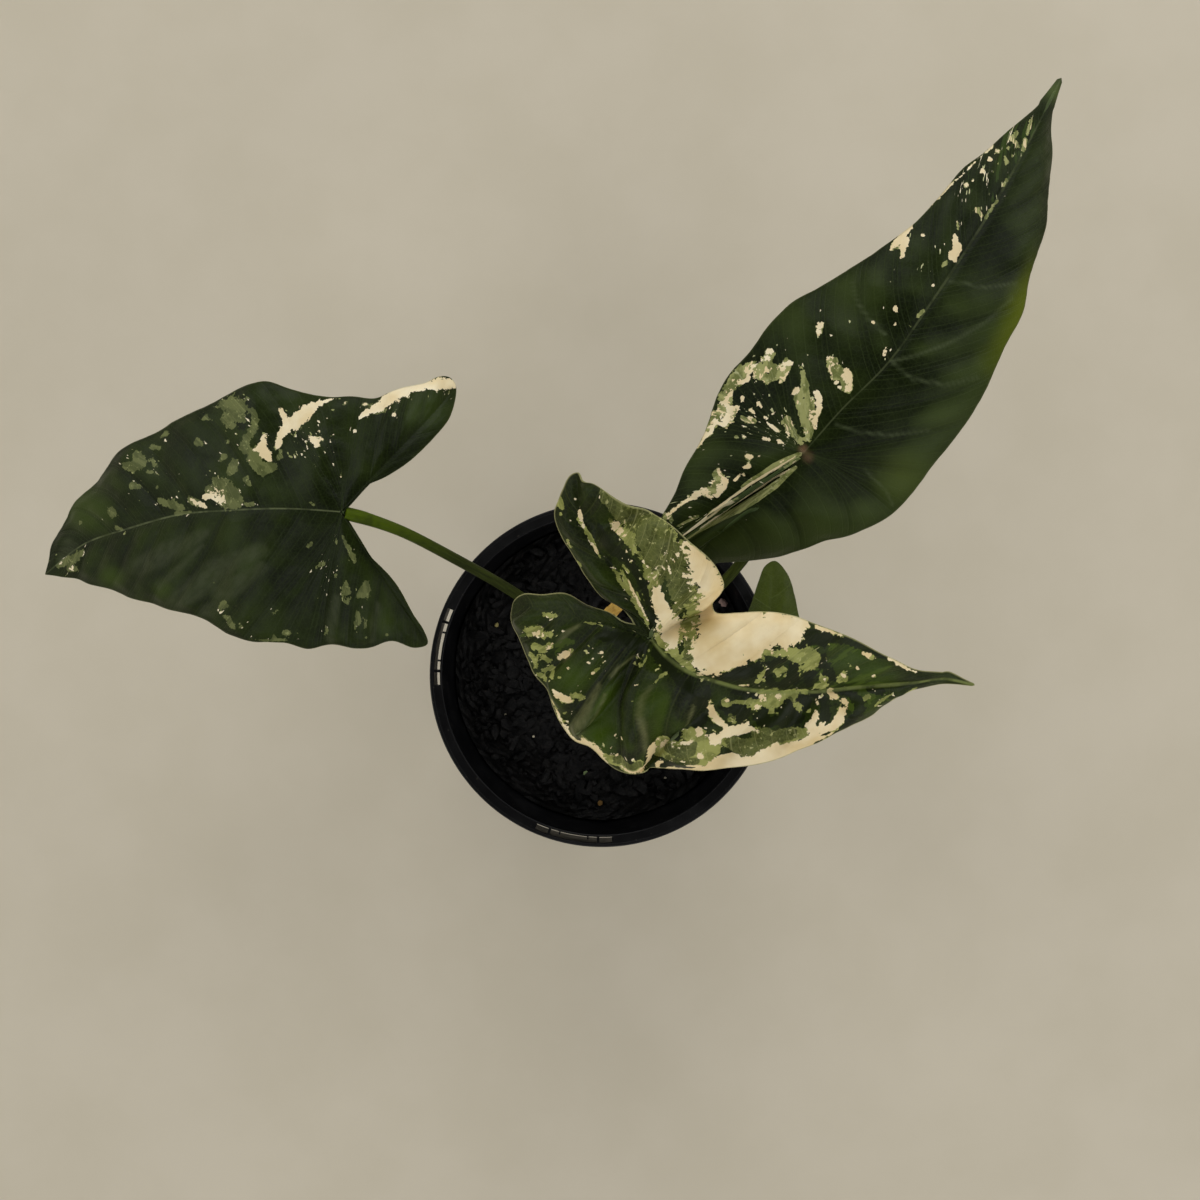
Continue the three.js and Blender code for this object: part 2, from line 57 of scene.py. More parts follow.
def addNode(tree, kind, settings=None, inputs=()):
    # inputs fill the open sockets in order, or by name; a node stands for its first open output, and a string
    # for a colour
    node = tree.nodes.new("ShaderNode" + kind)
    for key, value in (settings or {}).items():
        setattr(node, key, value)
    opened = [socket for socket in node.inputs if socket.enabled]
    for key, value in inputs.items() if isinstance(inputs, dict) else enumerate(inputs):
        socket = opened[key] if isinstance(key, int) else node.inputs[key]
        if isinstance(value, bpy.types.Node):
            value = next(output for output in value.outputs if output.enabled)
        if isinstance(value, bpy.types.NodeSocket):
            tree.links.new(value, socket)
        else:
            socket.default_value = toLinear(value) if isinstance(value, str) else value
    return node


plus, minus, times, over = ({"operation": word} for word in ("ADD", "SUBTRACT", "MULTIPLY", "DIVIDE"))
timesPlus, larger, smaller = ({"operation": word} for word in ("MULTIPLY_ADD", "MAXIMUM", "MINIMUM"))
away, part = {"operation": "ABSOLUTE"}, {"operation": "FRACT"}
smooth, colours = {"interpolation_type": "SMOOTHSTEP"}, {"data_type": "RGBA"}


def startMaterial(name):
    made = bpy.data.materials.new(name)
    made.use_nodes = True
    made.node_tree.nodes.clear()
    return made, partial(addNode, made.node_tree)


leafLook = {
    # Living leaf blade with a thin natural wax: a satin sheen over soft colour, and finely netted veins.
    "ior": 1.45,
    "net": 1.0 * mm,              # one mesh of the finest net; the real one is near 0.7 mm, too fine to show
    "crumbSize": 1.1 * mm,        # crumbs that break up the pale patches
    "fringeSize": 4 * mm,         # the fringe round the cream
    "breakSize": 5 * mm,          # breaks in the pale rib
    "cloudSize": 11 * mm,         # clouds in the green and in the cream
    "ivoryCloudSize": 9 * mm,
    "fleckCloudSize": 2.5 * mm,   # change of tone from fleck to fleck
    "sheenSize": 6 * mm,          # worn patches in the wax
    "reliefDepth": 0.14 * mm,
    # in mm along and across the veins
    "grainStretch": (0.5, 1, 0),
    "tearSize": 3.2,              # broad tears in the edges of the pale patches
    "fleckSize": 0.9,
    "marbleSize": 2.6,            # sectors of half-bleached green
    "mottleSize": 2.2,            # the two depths of the grey-green
    "paintedHighlightSize": 1.4,             # streaks in the painted highlight on the ridges
    "lateralWidth": 0.3,          # drawn a little wider than life so that it shows
    "fineWidth": 0.9,
    "marginWidth": 0.4,
    "pitchPhase": 6,              # what one vein's spacing counts for in the grain coordinates
    "halfShift": 17,              # vein spacings between the grain of one half and of the other
    "fineShare": 0.16,            # how strongly the fine veins and the net show in the green
    "netShare": 0.1,
}


def makeLeafMaterial(name, tones):
    look = leafLook
    made, node = startMaterial(name)
    spot = node("TexCoord").outputs["Object"]
    layers = {}
    for label in ("grain", "pattern", "place", "tone", "shade", "finish"):
        vector = node("Attribute", {"attribute_name": label}).outputs["Vector"]
        layers[label] = (vector, *node("SeparateXYZ", {}, [vector]).outputs)
    grain, _, across, marble = layers["grain"]
    _, light, cream, fleck = layers["pattern"]
    _, ribGap, edgeGap, under = layers["place"]
    _, yellowing, pitch, swell = layers["tone"]
    _, sage, blotch, brightAndLitGreen = layers["shade"]
    _, paintedHighlight, calm, _ = layers["finish"]
    steady = node("Math", minus, [1.0, calm])
    crest = node("Math", larger, [swell, 0.0])
    valley = node("Math", larger, [node("Math", times, [swell, -1.0]), 0.0])
    phase = node("Math", over, [across, look["pitchPhase"]])

    # torn edges: broad tears drawn out along the veins, and crumbs
    stretched = node("VectorMath", times, [grain, look["grainStretch"]])
    tears = node("TexNoise", {}, {"Vector": stretched, "Scale": 1 / look["tearSize"], "Detail": 3,
                                  "Roughness": 0.6})
    tears = node("Math", minus, [tears, 0.5])
    crumbs = node("TexNoise", {}, {"Vector": spot, "Scale": 1 / look["crumbSize"], "Detail": 3,
                                   "Roughness": 0.6})
    crumbs = node("Math", minus, [crumbs, 0.5])
    torn = node("Math", timesPlus, [tears, tones["tear"], node("Math", times, [crumbs, tones["crumb"]])])
    torn = node("Math", times, [torn, steady])
    # grey-green also shows as an uneven fringe round the cream
    fringe = node("TexNoise", {}, {"Vector": spot, "Scale": 1 / look["fringeSize"], "Detail": 2,
                                   "Roughness": 0.55})
    fringe = node("Math", timesPlus, [node("Math", minus, [fringe, 0.53]), tones["fringe"], cream])
    lightEdge = node("Math", larger, [node("Math", minus, [light, torn]), node("Math", plus, [fringe, torn])])
    lightShare = node("MapRange", smooth, [lightEdge, -0.03, 0.05])
    # over grey-green the cream breaks up into finer crumbs
    creamCrumb = node("Math", times, [node("MapRange", smooth, [light, -0.2, 0.6]), tones["creamCrumb"]])
    creamCrumb = node("Math", times, [creamCrumb, steady])
    creamEdge = node("Math", timesPlus, [crumbs, creamCrumb, node("Math", plus, [cream, torn])])
    creamShare = node("MapRange", smooth, [creamEdge, -0.03, 0.05])
    blotchShare = node("MapRange", smooth, [node("Math", plus, [blotch, torn]), -0.05, 0.1])
    sageShare = node("MapRange", smooth, [node("Math", timesPlus, [torn, -1.4, sage]), -0.1, 0.2])

    # flecks, thick beside a patch and where the fleck value is high
    fleckField = node("TexNoise", {}, {"Vector": stretched, "Scale": 1 / look["fleckSize"], "Detail": 2,
                                       "Roughness": 0.55})
    nearest = node("Math", larger, [light, cream])
    nearest = node("Math", timesPlus, [node("Math", smaller, [fleck, 0.0]), 4.0, nearest])
    beside = node("MapRange", {}, [nearest, -5.0, -0.2, 0.8, 0.65])
    fleckFloor = node("Math", smaller, [beside, node("Math", timesPlus, [fleck, -0.24, 0.8])])
    fleckShare = node("MapRange", smooth, [node("Math", minus, [fleckField, fleckFloor]), 0.0, 0.02])

    # veins
    fraction = node("Math", part, [node("Math", plus, [phase, 0.5])])
    veinGap = node("Math", times, [node("Math", away, [node("Math", minus, [fraction, 0.5])]), pitch])
    lateral = node("MapRange", smooth, [veinGap, look["lateralWidth"], 0.0])
    fineFraction = node("Math", part, [node("Math", times, [phase, 4.0])])
    fineGap = node("Math", times, [node("Math", away, [node("Math", minus, [fineFraction, 0.5])]), pitch])
    fine = node("MapRange", smooth, [fineGap, look["fineWidth"], 0.0])
    net = node("TexVoronoi", {"feature": "DISTANCE_TO_EDGE"}, {"Vector": spot, "Scale": 1 / look["net"]})
    netLine = node("MapRange", smooth, [net, 0.14, 0.0])
    broken = node("TexNoise", {}, {"Vector": spot, "Scale": 1 / look["breakSize"], "Detail": 2,
                                   "Roughness": 0.55})
    broken = node("MapRange", smooth, [broken, 0.42, 0.58, 0.4, 1.0])
    # the pale midrib: its own paler colour, and on the dark leaves partly a painted highlight along the
    # raised rib
    rib = node("Math", times, [node("MapRange", smooth, [ribGap, tones["ribWidth"], 0.1]), broken])
    margin = node("MapRange", smooth, [edgeGap, look["marginWidth"], 0.05])

    # the green ground: clouded, with a brighter green as painted light on the crests and painted shade in the
    # valleys
    cloud = node("TexNoise", {}, {"Vector": spot, "Scale": 1 / look["cloudSize"], "Detail": 4,
                                  "Roughness": 0.55})
    dark = node("Mix", colours, [node("MapRange", smooth, [cloud, 0.36, 0.66]), tones["deep"], tones["dark"]])
    # brighter green where light is painted, on the crests and under its soft marks; painted shade in the
    # valleys and under the shadow marks
    brightAndLitGreenShare = node("Math", timesPlus, [crest, tones["brightAndLitGreenShare"], brightAndLitGreen])
    dark = node("Mix", colours, [node("Math", smaller, [brightAndLitGreenShare, 1.0]), dark, tones["brightAndLitGreen"]])
    paintedShade = node("Math", larger, [node("Math", times, [brightAndLitGreen, -1.0]), 0.0])
    paintedShade = node("Math", timesPlus, [valley, tones["valleyShare"], paintedShade])
    dark = node("Mix", colours, [paintedShade, dark, tones["valley"]])
    # the fine veins in the same brighter green, their own colour
    dark = node("Mix", colours, [node("Math", times, [fine, look["fineShare"]]), dark, tones["brightAndLitGreen"]])
    lateralShare = node("Math", times, [lateral, tones["lateralShare"]])
    dark = node("Mix", colours, [lateralShare, dark, tones["lateral"]])
    dark = node("Mix", colours, [node("Math", times, [netLine, look["netShare"]]), dark, tones["lateral"]])
    # a painted highlight: pale grey-green along the lit ridges where light catches the wax, streaked along
    # the veins
    streaks = node("TexNoise", {}, {"Vector": stretched, "Scale": 1 / look["paintedHighlightSize"], "Detail": 3,
                                    "Roughness": 0.6})
    streaks = node("MapRange", smooth, [streaks, 0.35, 0.62, 0.5, 1.0])
    paintedHighlight = node("Math", times, [paintedHighlight, node("Math", times, [streaks, tones["paintedHighlightShare"]])])
    dark = node("Mix", colours, [paintedHighlight, dark, tones["paintedHighlight"]])
    # sectors of half-bleached green, hard edged like the patches
    marbleField = node("TexNoise", {}, {"Vector": stretched, "Scale": 1 / look["marbleSize"], "Detail": 4,
                                        "Roughness": 0.6})
    marbleFloor = node("Math", timesPlus, [marble, -0.4, 0.7])
    marbleEdge = node("Math", minus, [marbleField, marbleFloor])
    marbleShare = node("MapRange", smooth, [marbleEdge, 0.0, 0.03, 0.0, 0.8])
    dark = node("Mix", colours, [marbleShare, dark, tones["half"]])
    dark = node("Mix", colours, [node("Math", times, [blotchShare, 0.85]), dark, tones["blotch"]])
    dark = node("Mix", colours, [yellowing, dark, tones["yellow"]])

    # grey-green in two depths, crumbled and netted
    mottle = node("TexNoise", {}, {"Vector": stretched, "Scale": 1 / look["mottleSize"], "Detail": 4,
                                   "Roughness": 0.6})
    mottle = node("MapRange", smooth, [mottle, 0.44, 0.56])
    greyGreen = node("Mix", colours, [mottle, tones["lightLow"], tones["lightHigh"]])
    sageGreen = node("Mix", colours, [mottle, tones["sageLow"], tones["sageHigh"]])
    greyGreen = node("Mix", colours, [sageShare, greyGreen, sageGreen])
    pale = node("MapRange", smooth, [crumbs, 0.1, 0.16, 0.0, 0.7])
    greyGreen = node("Mix", colours, [pale, greyGreen, tones["lightTop"]])
    fineLine = node("MapRange", smooth, [fineGap, 0.35, 0.0])
    greyGreen = node("Mix", colours, [node("Math", times, [fineLine, 0.3]), greyGreen, tones["lightTop"]])
    greyGreen = node("Mix", colours, [node("Math", times, [netLine, 0.15]), greyGreen, tones["lightHigh"]])
    greyGreen = node("Mix", colours, [node("Math", times, [lateral, 0.35]), greyGreen, tones["lightTop"]])

    # the cream, clouded and with a little painted shade in the valleys, and the flecks, each of its own tone
    ivory = node("TexNoise", {}, {"Vector": spot, "Scale": 1 / look["ivoryCloudSize"], "Detail": 3,
                                  "Roughness": 0.55})
    ivory = node("MapRange", smooth, [ivory, 0.35, 0.7])
    ivory = node("Mix", colours, [ivory, tones["creamLow"], tones["creamHigh"]])
    ivory = node("Mix", colours, [node("Math", times, [valley, 0.2]), ivory, tones["creamLow"]])
    fleckTone = node("TexNoise", {}, {"Vector": spot, "Scale": 1 / look["fleckCloudSize"], "Detail": 1,
                                      "Roughness": 0.55})
    fleckTone = node("MapRange", smooth, [fleckTone, 0.47, 0.53])
    fleckTone = node("Mix", colours, [fleckTone, tones["lightTop"], tones["creamHigh"]])

    # the layers, from the green up to the veins
    colour = node("Mix", colours, [fleckShare, dark, fleckTone])
    colour = node("Mix", colours, [lightShare, colour, greyGreen])
    stippleFloor = node("Math", timesPlus, [fleck, -0.15, tones["stipple"]])
    stipple = node("MapRange", smooth, [node("Math", minus, [fleckField, stippleFloor]), 0.0, 0.02])
    colour = node("Mix", colours, [node("Math", times, [stipple, lightShare]), colour, tones["creamLow"]])
    colour = node("Mix", colours, [creamShare, colour, ivory])
    margin = node("Math", times, [margin, tones["marginShare"]])
    colour = node("Mix", colours, [margin, colour, tones["margin"]])
    colour = node("Mix", colours, [node("Math", times, [rib, tones["ribShare"]]), colour, tones["rib"]])
    blush = node("Math", larger, [node("Math", times, [marble, -1.0]), 0.0])
    colour = node("Mix", colours, [blush, colour, tones["blush"]])
    colour = node("Mix", colours, [node("Math", times, [under, 0.4]), colour, tones["underside"]])

    # the wax wears thin in patches, so the sheen is never even
    sheen = node("TexNoise", {}, {"Vector": spot, "Scale": 1 / look["sheenSize"], "Detail": 4,
                                  "Roughness": 0.55})
    sheen = node("MapRange", {}, [sheen, 0.3, 0.7, *tones["gloss"]])
    relief = node("Math", timesPlus, [netLine, -0.12, node("Math", times, [fine, -0.25])])
    relief = node("Math", timesPlus, [lateral, -0.4, relief])
    relief = node("Bump", {}, {"Height": relief, "Distance": look["reliefDepth"], "Strength": 0.7})
    shader = node("BsdfPrincipled", {}, {"Base Color": colour, "Roughness": sheen, "Normal": relief,
                                         "IOR": look["ior"], "Specular IOR Level": tones["wax"]})
    node("OutputMaterial", {}, {"Surface": shader})
    return made


# In the tones, the valley colour is painted shade, the brighter green also stands for painted light on the
# crests, and the pale ridge colour is a painted highlight.
darkTones = {
    "deep": "#151c08", "dark": "#242e0d", "brightAndLitGreen": "#3a4a16", "brightAndLitGreenShare": 0.4,
    "valley": "#0e1405", "valleyShare": 0.6, "lateral": "#44522a", "lateralShare": 0.12,
    "half": "#38491d", "yellow": "#6a760a", "blotch": "#161d08",
    "lightLow": "#535a33", "lightHigh": "#6b7144", "lightTop": "#989c66",
    "sageLow": "#4c5427", "sageHigh": "#62693a", "creamLow": "#ecd8aa", "creamHigh": "#fcefcc",
    "margin": "#4d5528", "marginShare": 0.35, "rib": "#7b835c", "ribShare": 0.5, "ribWidth": 0.35,
    "blush": "#85664e", "underside": "#5a6c42", "paintedHighlight": "#464c34", "paintedHighlightShare": 0.5,
    "gloss": (0.31, 0.44), "wax": 0.1,
    "tear": 2.4, "crumb": 2.6, "fringe": 3.0, "creamCrumb": 5.0, "stipple": 0.8,
}
creamTones = {
    **darkTones, "deep": "#1a2108", "dark": "#28330e", "brightAndLitGreen": "#3f540e",
    "valley": "#0e1406", "lateral": "#5a6333", "lateralShare": 0.22,
    "half": "#48591b", "yellow": "#7d8a2c", "blotch": "#181e0b",
    "lightLow": "#7f8444", "lightHigh": "#a0a35c", "lightTop": "#bfbd7e",
    "sageLow": "#4a5024", "sageHigh": "#5f6534", "creamLow": "#e9d19c", "creamHigh": "#fbebc3",
    "margin": "#a9a572", "marginShare": 0.7, "rib": "#7f894a", "ribShare": 0.8, "ribWidth": 0.7,
    "underside": "#7c8a5c", "paintedHighlight": "#70724a", "paintedHighlightShare": 0.7,
    "gloss": (0.33, 0.46), "wax": 0.12, "tear": 2.0, "crumb": 3.0,
}
longTones = {
    **darkTones, "deep": "#151c09", "dark": "#232c10", "brightAndLitGreen": "#4a582a", "ribShare": 0.22, "wax": 0.06,
    "lightLow": "#6c7340", "lightHigh": "#a0a268", "lightTop": "#c3c493", "creamCrumb": 8.0, "stipple": 0.66,
    "paintedHighlight": "#535c40", "paintedHighlightShare": 0.55,
}
smallTones = {
    **darkTones, "deep": "#2c3410", "dark": "#3b4516", "brightAndLitGreen": "#46521a", "lateral": "#5d6a34",
    "lateralShare": 0.2, "rib": "#59652e", "valleyShare": 0.3, "valley": "#262e0e",
}


# Meshes

def startMesh(name, points, faces):
    mesh = bpy.data.meshes.new(name)
    mesh.from_pydata((np.array(points) * mm).tolist(), [], faces)
    return mesh


def shadeSmooth(mesh, sharpFrom=None):
    mesh.polygons.foreach_set("use_smooth", [True] * len(mesh.polygons))
    if sharpFrom:
        mesh.set_sharp_from_angle(angle=math.radians(sharpFrom))


def ringFaces(rings, sides, start=0):
    # the faces between rings of points that follow one another
    return [(start + i * sides + j, start + i * sides + (j + 1) % sides,
             start + (i + 1) * sides + (j + 1) % sides, start + (i + 1) * sides + j)
            for i in range(rings - 1) for j in range(sides)]


def closedRings(rings, sides):
    # the same, closed by a first point below the rings and a last one above
    last = 1 + (rings - 1) * sides
    return ([(0, 1 + (j + 1) % sides, 1 + j) for j in range(sides)] + ringFaces(rings, sides, 1)
            + [(last + j, last + (j + 1) % sides, last + sides) for j in range(sides)])


def ringPoint(radius, degrees):
    return radius * math.cos(math.radians(degrees)), radius * math.sin(math.radians(degrees))


def placePiece(name, mesh, material, slot, *nodes):
    piece = bpy.data.objects.new(name, mesh)
    scene.collection.objects.link(piece)
    mesh.materials.append(material)
    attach(piece, "root")
    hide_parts(*nodes)
    print("made", name, "with", len(mesh.polygons), "faces")


# Blades

bladeForm = {
    # lengths in mm, shared by all the leaves
    "rowPower": 1.15,                   # rows stand closer towards the rib
    "veinSweep": 1.25,                  # how late a vein turns towards its place at the margin
    "veinStrength": (0.15, 0.8),        # drawn for each vein that doesn't give its own
    "veinSeed": 7,
    "pitchLimits": (0.2, 14),
    "mergeGap": 2e-3,
    "tipBlend": (8, 16),                # from the tip: where the drip tip's own width gives way to the margin
    "notchBlend": 0.2,
    "ribCalm": (0.3, 4),                # from the rib and from the margin: where the puffs rise
    "edgeCalm": (0, 3.5),
    "fullPitch": 7,                     # vein spacing at which a puff is full
    "puffPower": 2.2,
    "puffLeast": 0.4,
    "waveReach": 14,                    # the margin's waves die out this far in
    "waveFree": 9,
    "wrinkles": [(9, 3, 1), (3.2, 4, 0.35)],   # size, seed, share
    "wrinkleFree": 4,
    "grooveWidth": 0.8,
    "grooveEnd": 2.98,
    "keelWidth": 1.1,
    "keelFree": (1, 5),
    "veinKeelWidth": 0.5,
    "veinKeelShare": 0.3,
    # the vein valleys and the crests between them, which carry painted shade and painted light
    "valleyWidth": 0.9,
    "valleyFree": (1, 8),
    "crestSize": 14,
    "crestSeed": 8,
    "thinEdge": 1.5,                    # towards its edge the blade thins to this share, over this width
    "thinShare": 0.6,
    "frontRib": 1.02,                   # only the midrib, up to here, is drawn pale
    # how soft the edge of a painted highlight run is
    "paintedHighlightEdge": (-1.3, 0.5),
    "fleckCore": 0.4,                   # the part of a soft mark's radius that is full
    "marbleCore": 0.6,
    "calmCore": 0.6,
}


def smoothPath(points, steps=24):
    # centripetal Catmull-Rom through the points; what follows x, y, z in a point goes along
    p = np.array(points, float)
    p = np.vstack([2 * p[0] - p[1], p, 2 * p[-1] - p[-2]])
    t = (np.arange(steps) / steps)[:, None]
    parts = []
    for a, b, c, d in zip(p, p[1:], p[2:], p[3:]):
        g0, g1, g2 = [max(np.linalg.norm(v[:3]), 1e-3) ** 0.5 for v in (b - a, c - b, d - c)]
        start = ((b - a) / g0 - (c - a) / (g0 + g1) + (c - b) / g1) * g1
        end = ((c - b) / g1 - (d - b) / (g1 + g2) + (d - c) / g2) * g1
        square, cube = 3 * (c - b) - 2 * start - end, 2 * (b - c) + start + end
        parts.append(b + t * start + t ** 2 * square + t ** 3 * cube)
    return np.vstack(parts + [p[-2:-1]])


def walk(path, first, last, shares, steps=24):
    # points a share of the way, by length, between two of the path's own points
    run = path[first * steps:last * steps + 1]
    reach = np.concatenate([[0], np.cumsum(np.linalg.norm(np.diff(run[:, :3], axis=0), axis=1))])
    return np.stack([np.interp(shares * reach[-1], reach, column) for column in run.T], axis=1)


def strokeField(strokes, x, y):
    # above 0 inside any stroke of (x, y, radius), about -1 a stroke's width away
    field = np.full(x.shape, -9.0)
    for stroke in strokes:
        ends = stroke if len(stroke) > 1 else stroke * 2
        for (ax, ay, ar), (bx, by, br) in zip(ends, ends[1:]):
            dx, dy = bx - ax, by - ay
            share = np.clip(((x - ax) * dx + (y - ay) * dy) / max(dx * dx + dy * dy, 1e-9), 0, 1)
            radius = ar + (br - ar) * share
            gap = np.hypot(x - ax - dx * share, y - ay - dy * share)
            field = np.maximum(field, (radius - gap) / (0.5 * radius + 1.3))
    return field


def spots(x, y, marks, core):
    # soft round marks of (x, y, radius, share); core is the part of the radius that is full
    total = np.zeros(len(x))
    for markX, markY, radius, share in marks:
        total += (1 - total) * share * ease(np.hypot(x - markX, y - markY), radius, radius * core)
    return total


def toPlan(points):
    # where the points stand in the plan view, in pixels
    scale = plan["pixels"] * plan["lens"] / plan["sensor"] / (plan["place"][2] - points[:, 2])
    middle = plan["pixels"] / 2
    x, y = points[:, 0] - plan["place"][0], points[:, 1] - plan["place"][1]
    return middle + x * scale, middle - y * scale


def ease(value, low, high):
    t = np.clip((value - low) / (high - low), 0, 1)
    return t * t * (3 - 2 * t)


def ripple(x, y, size, seed):
    # a soft, uneven swell about size mm across, from -1 to 1
    draw = random.Random(seed)
    total = np.zeros_like(x)
    for _ in range(7):
        turn, start = draw.uniform(0, math.tau), draw.uniform(0, math.tau)
        pace = math.tau / (size * draw.uniform(0.7, 1.6))
        total += np.sin(pace * (x * math.cos(turn) + y * math.sin(turn)) + start)
    return total / 4


def bluntTip(spine, flank, radius, spread):
    # how far to move the margin outwards, so that the leaf ends in a round drip tip that widens by the spread
    steps = np.gradient(spine, axis=0)
    steps /= np.linalg.norm(steps, axis=1)[:, None]
    reach = np.concatenate([[0], np.cumsum(np.linalg.norm(np.diff(spine, axis=0), axis=1))])
    across = flank - spine
    across -= steps * (across * steps).sum(axis=1)[:, None]
    wide = np.linalg.norm(across, axis=1)
    across[wide < 0.05] = across[np.argmax(wide >= 0.05)]
    across /= np.linalg.norm(across, axis=1)[:, None]
    wanted = radius * np.sqrt(1 - np.clip(1 - reach / radius, 0, 1) ** 2)
    wanted += spread * np.maximum(reach - radius, 0)
    wanted *= 1 - ease(reach, *bladeForm["tipBlend"])
    return across * np.maximum(wanted - wide, 0)[:, None]


def keepBeside(rib, notch, opposite, gap):
    # hold the notch's edge on its own side of the rib, so that the strip between them never turns over
    steps = np.gradient(rib[:, :2], axis=0)
    across = np.stack([-steps[:, 1], steps[:, 0]], axis=1)
    across /= np.linalg.norm(across, axis=1)[:, None]
    across *= np.sign((across * (rib - opposite)[:, :2]).sum())
    off = ((notch - rib)[:, :2] * across).sum(axis=1)
    least = gap * ease(np.linspace(0, 1, len(rib)), 0, bladeForm["notchBlend"])
    return across * np.maximum(least - off, 0)[:, None]


def makeHalf(leaf, half, side):
    # a half blade as one grid: columns from the rib to the margin, in three strips from the tip to the notch
    grid = leaf["grid"]
    tip, root = leaf["midrib"][0], leaf["midrib"][-1]
    margin = smoothPath([(*tip, 0)] + half["margin"])
    midrib = smoothPath(leaf["midrib"])
    rib = smoothPath([root] + half["rib"] + [half["margin"][half["lobe"]][:3]])
    shoulder, lobe, notch = half["shoulder"] + 1, half["lobe"] + 1, len(half["margin"])
    ribEnd = len(half["rib"]) + 1
    front, back = np.linspace(0, 1, grid["front"] + 1), np.linspace(0, 1, grid["lobe"] + 1)
    spine, flank = walk(midrib, 0, len(leaf["midrib"]) - 1, front), walk(margin, 0, shoulder, front)
    flank[:, :3] += bluntTip(spine, flank[:, :3], leaf["tipRadius"], leaf["tipSpread"])
    ribBack, notchEdge = walk(rib, 0, ribEnd, 1 - back), walk(margin, lobe, notch, back)
    opposite = walk(margin, shoulder, lobe, 1 - back)[:, :3]
    notchEdge[:, :2] += keepBeside(ribBack, notchEdge[:, :3], opposite, leaf.get("notchGap", 0))
    notchEdge[:, 2] += leaf.get("notchLift", 0) * np.sin(back * math.pi) ** 0.7
    strips = [
        (spine, flank, front),
        (walk(rib, 0, ribEnd, back), walk(margin, shoulder, lobe, back), 1 + back),
        (ribBack, notchEdge, 2 + back),
    ]
    v = np.linspace(0, 1, grid["rows"]) ** bladeForm["rowPower"]
    veins = sorted(half["veins"])
    starts = np.array([vein[0] for vein in veins]) + np.arange(len(veins)) * 1e-3
    ends = np.array([vein[1] for vein in veins])
    draw = random.Random(bladeForm["veinSeed"] + side)
    strengths = [vein[2] if len(vein) > 2 else draw.uniform(*bladeForm["veinStrength"]) for vein in veins]
    made = []
    for inner, outer, w in strips:
        points = inner[:, None, :] * (1 - v)[None, :, None] + outer[:, None, :3] * v[None, :, None]
        points[:, :, 2] += outer[:, 3:4] * 4 * v * (1 - v)
        wide = np.linalg.norm(outer[:, :3] - inner, axis=1)[:, None]
        reach, edge = wide * v, wide * (1 - v)
        phase = np.empty(reach.shape)
        for row, share in enumerate(v):
            places = starts + (ends - starts) * share ** half.get("sweep", bladeForm["veinSweep"])
            slope = len(veins) / 3
            phase[:, row] = np.interp(w, places, np.arange(len(veins)))
            phase[:, row] += np.minimum(w - places[0], 0) * slope + np.maximum(w - places[-1], 0) * slope
        pace = np.linalg.norm(np.gradient(points, axis=0), axis=2)
        pitch = np.clip(pace / np.maximum(np.gradient(phase, axis=0), 1e-3), *bladeForm["pitchLimits"])
        strength = np.interp(phase, np.arange(len(veins)), strengths)
        made.append({"points": points, "reach": reach, "edge": edge, "phase": phase, "pitch": pitch,
                     "strength": strength, "w": np.repeat(w[:, None], len(v), axis=1),
                     "side": np.full(reach.shape, float(side))})
    return made


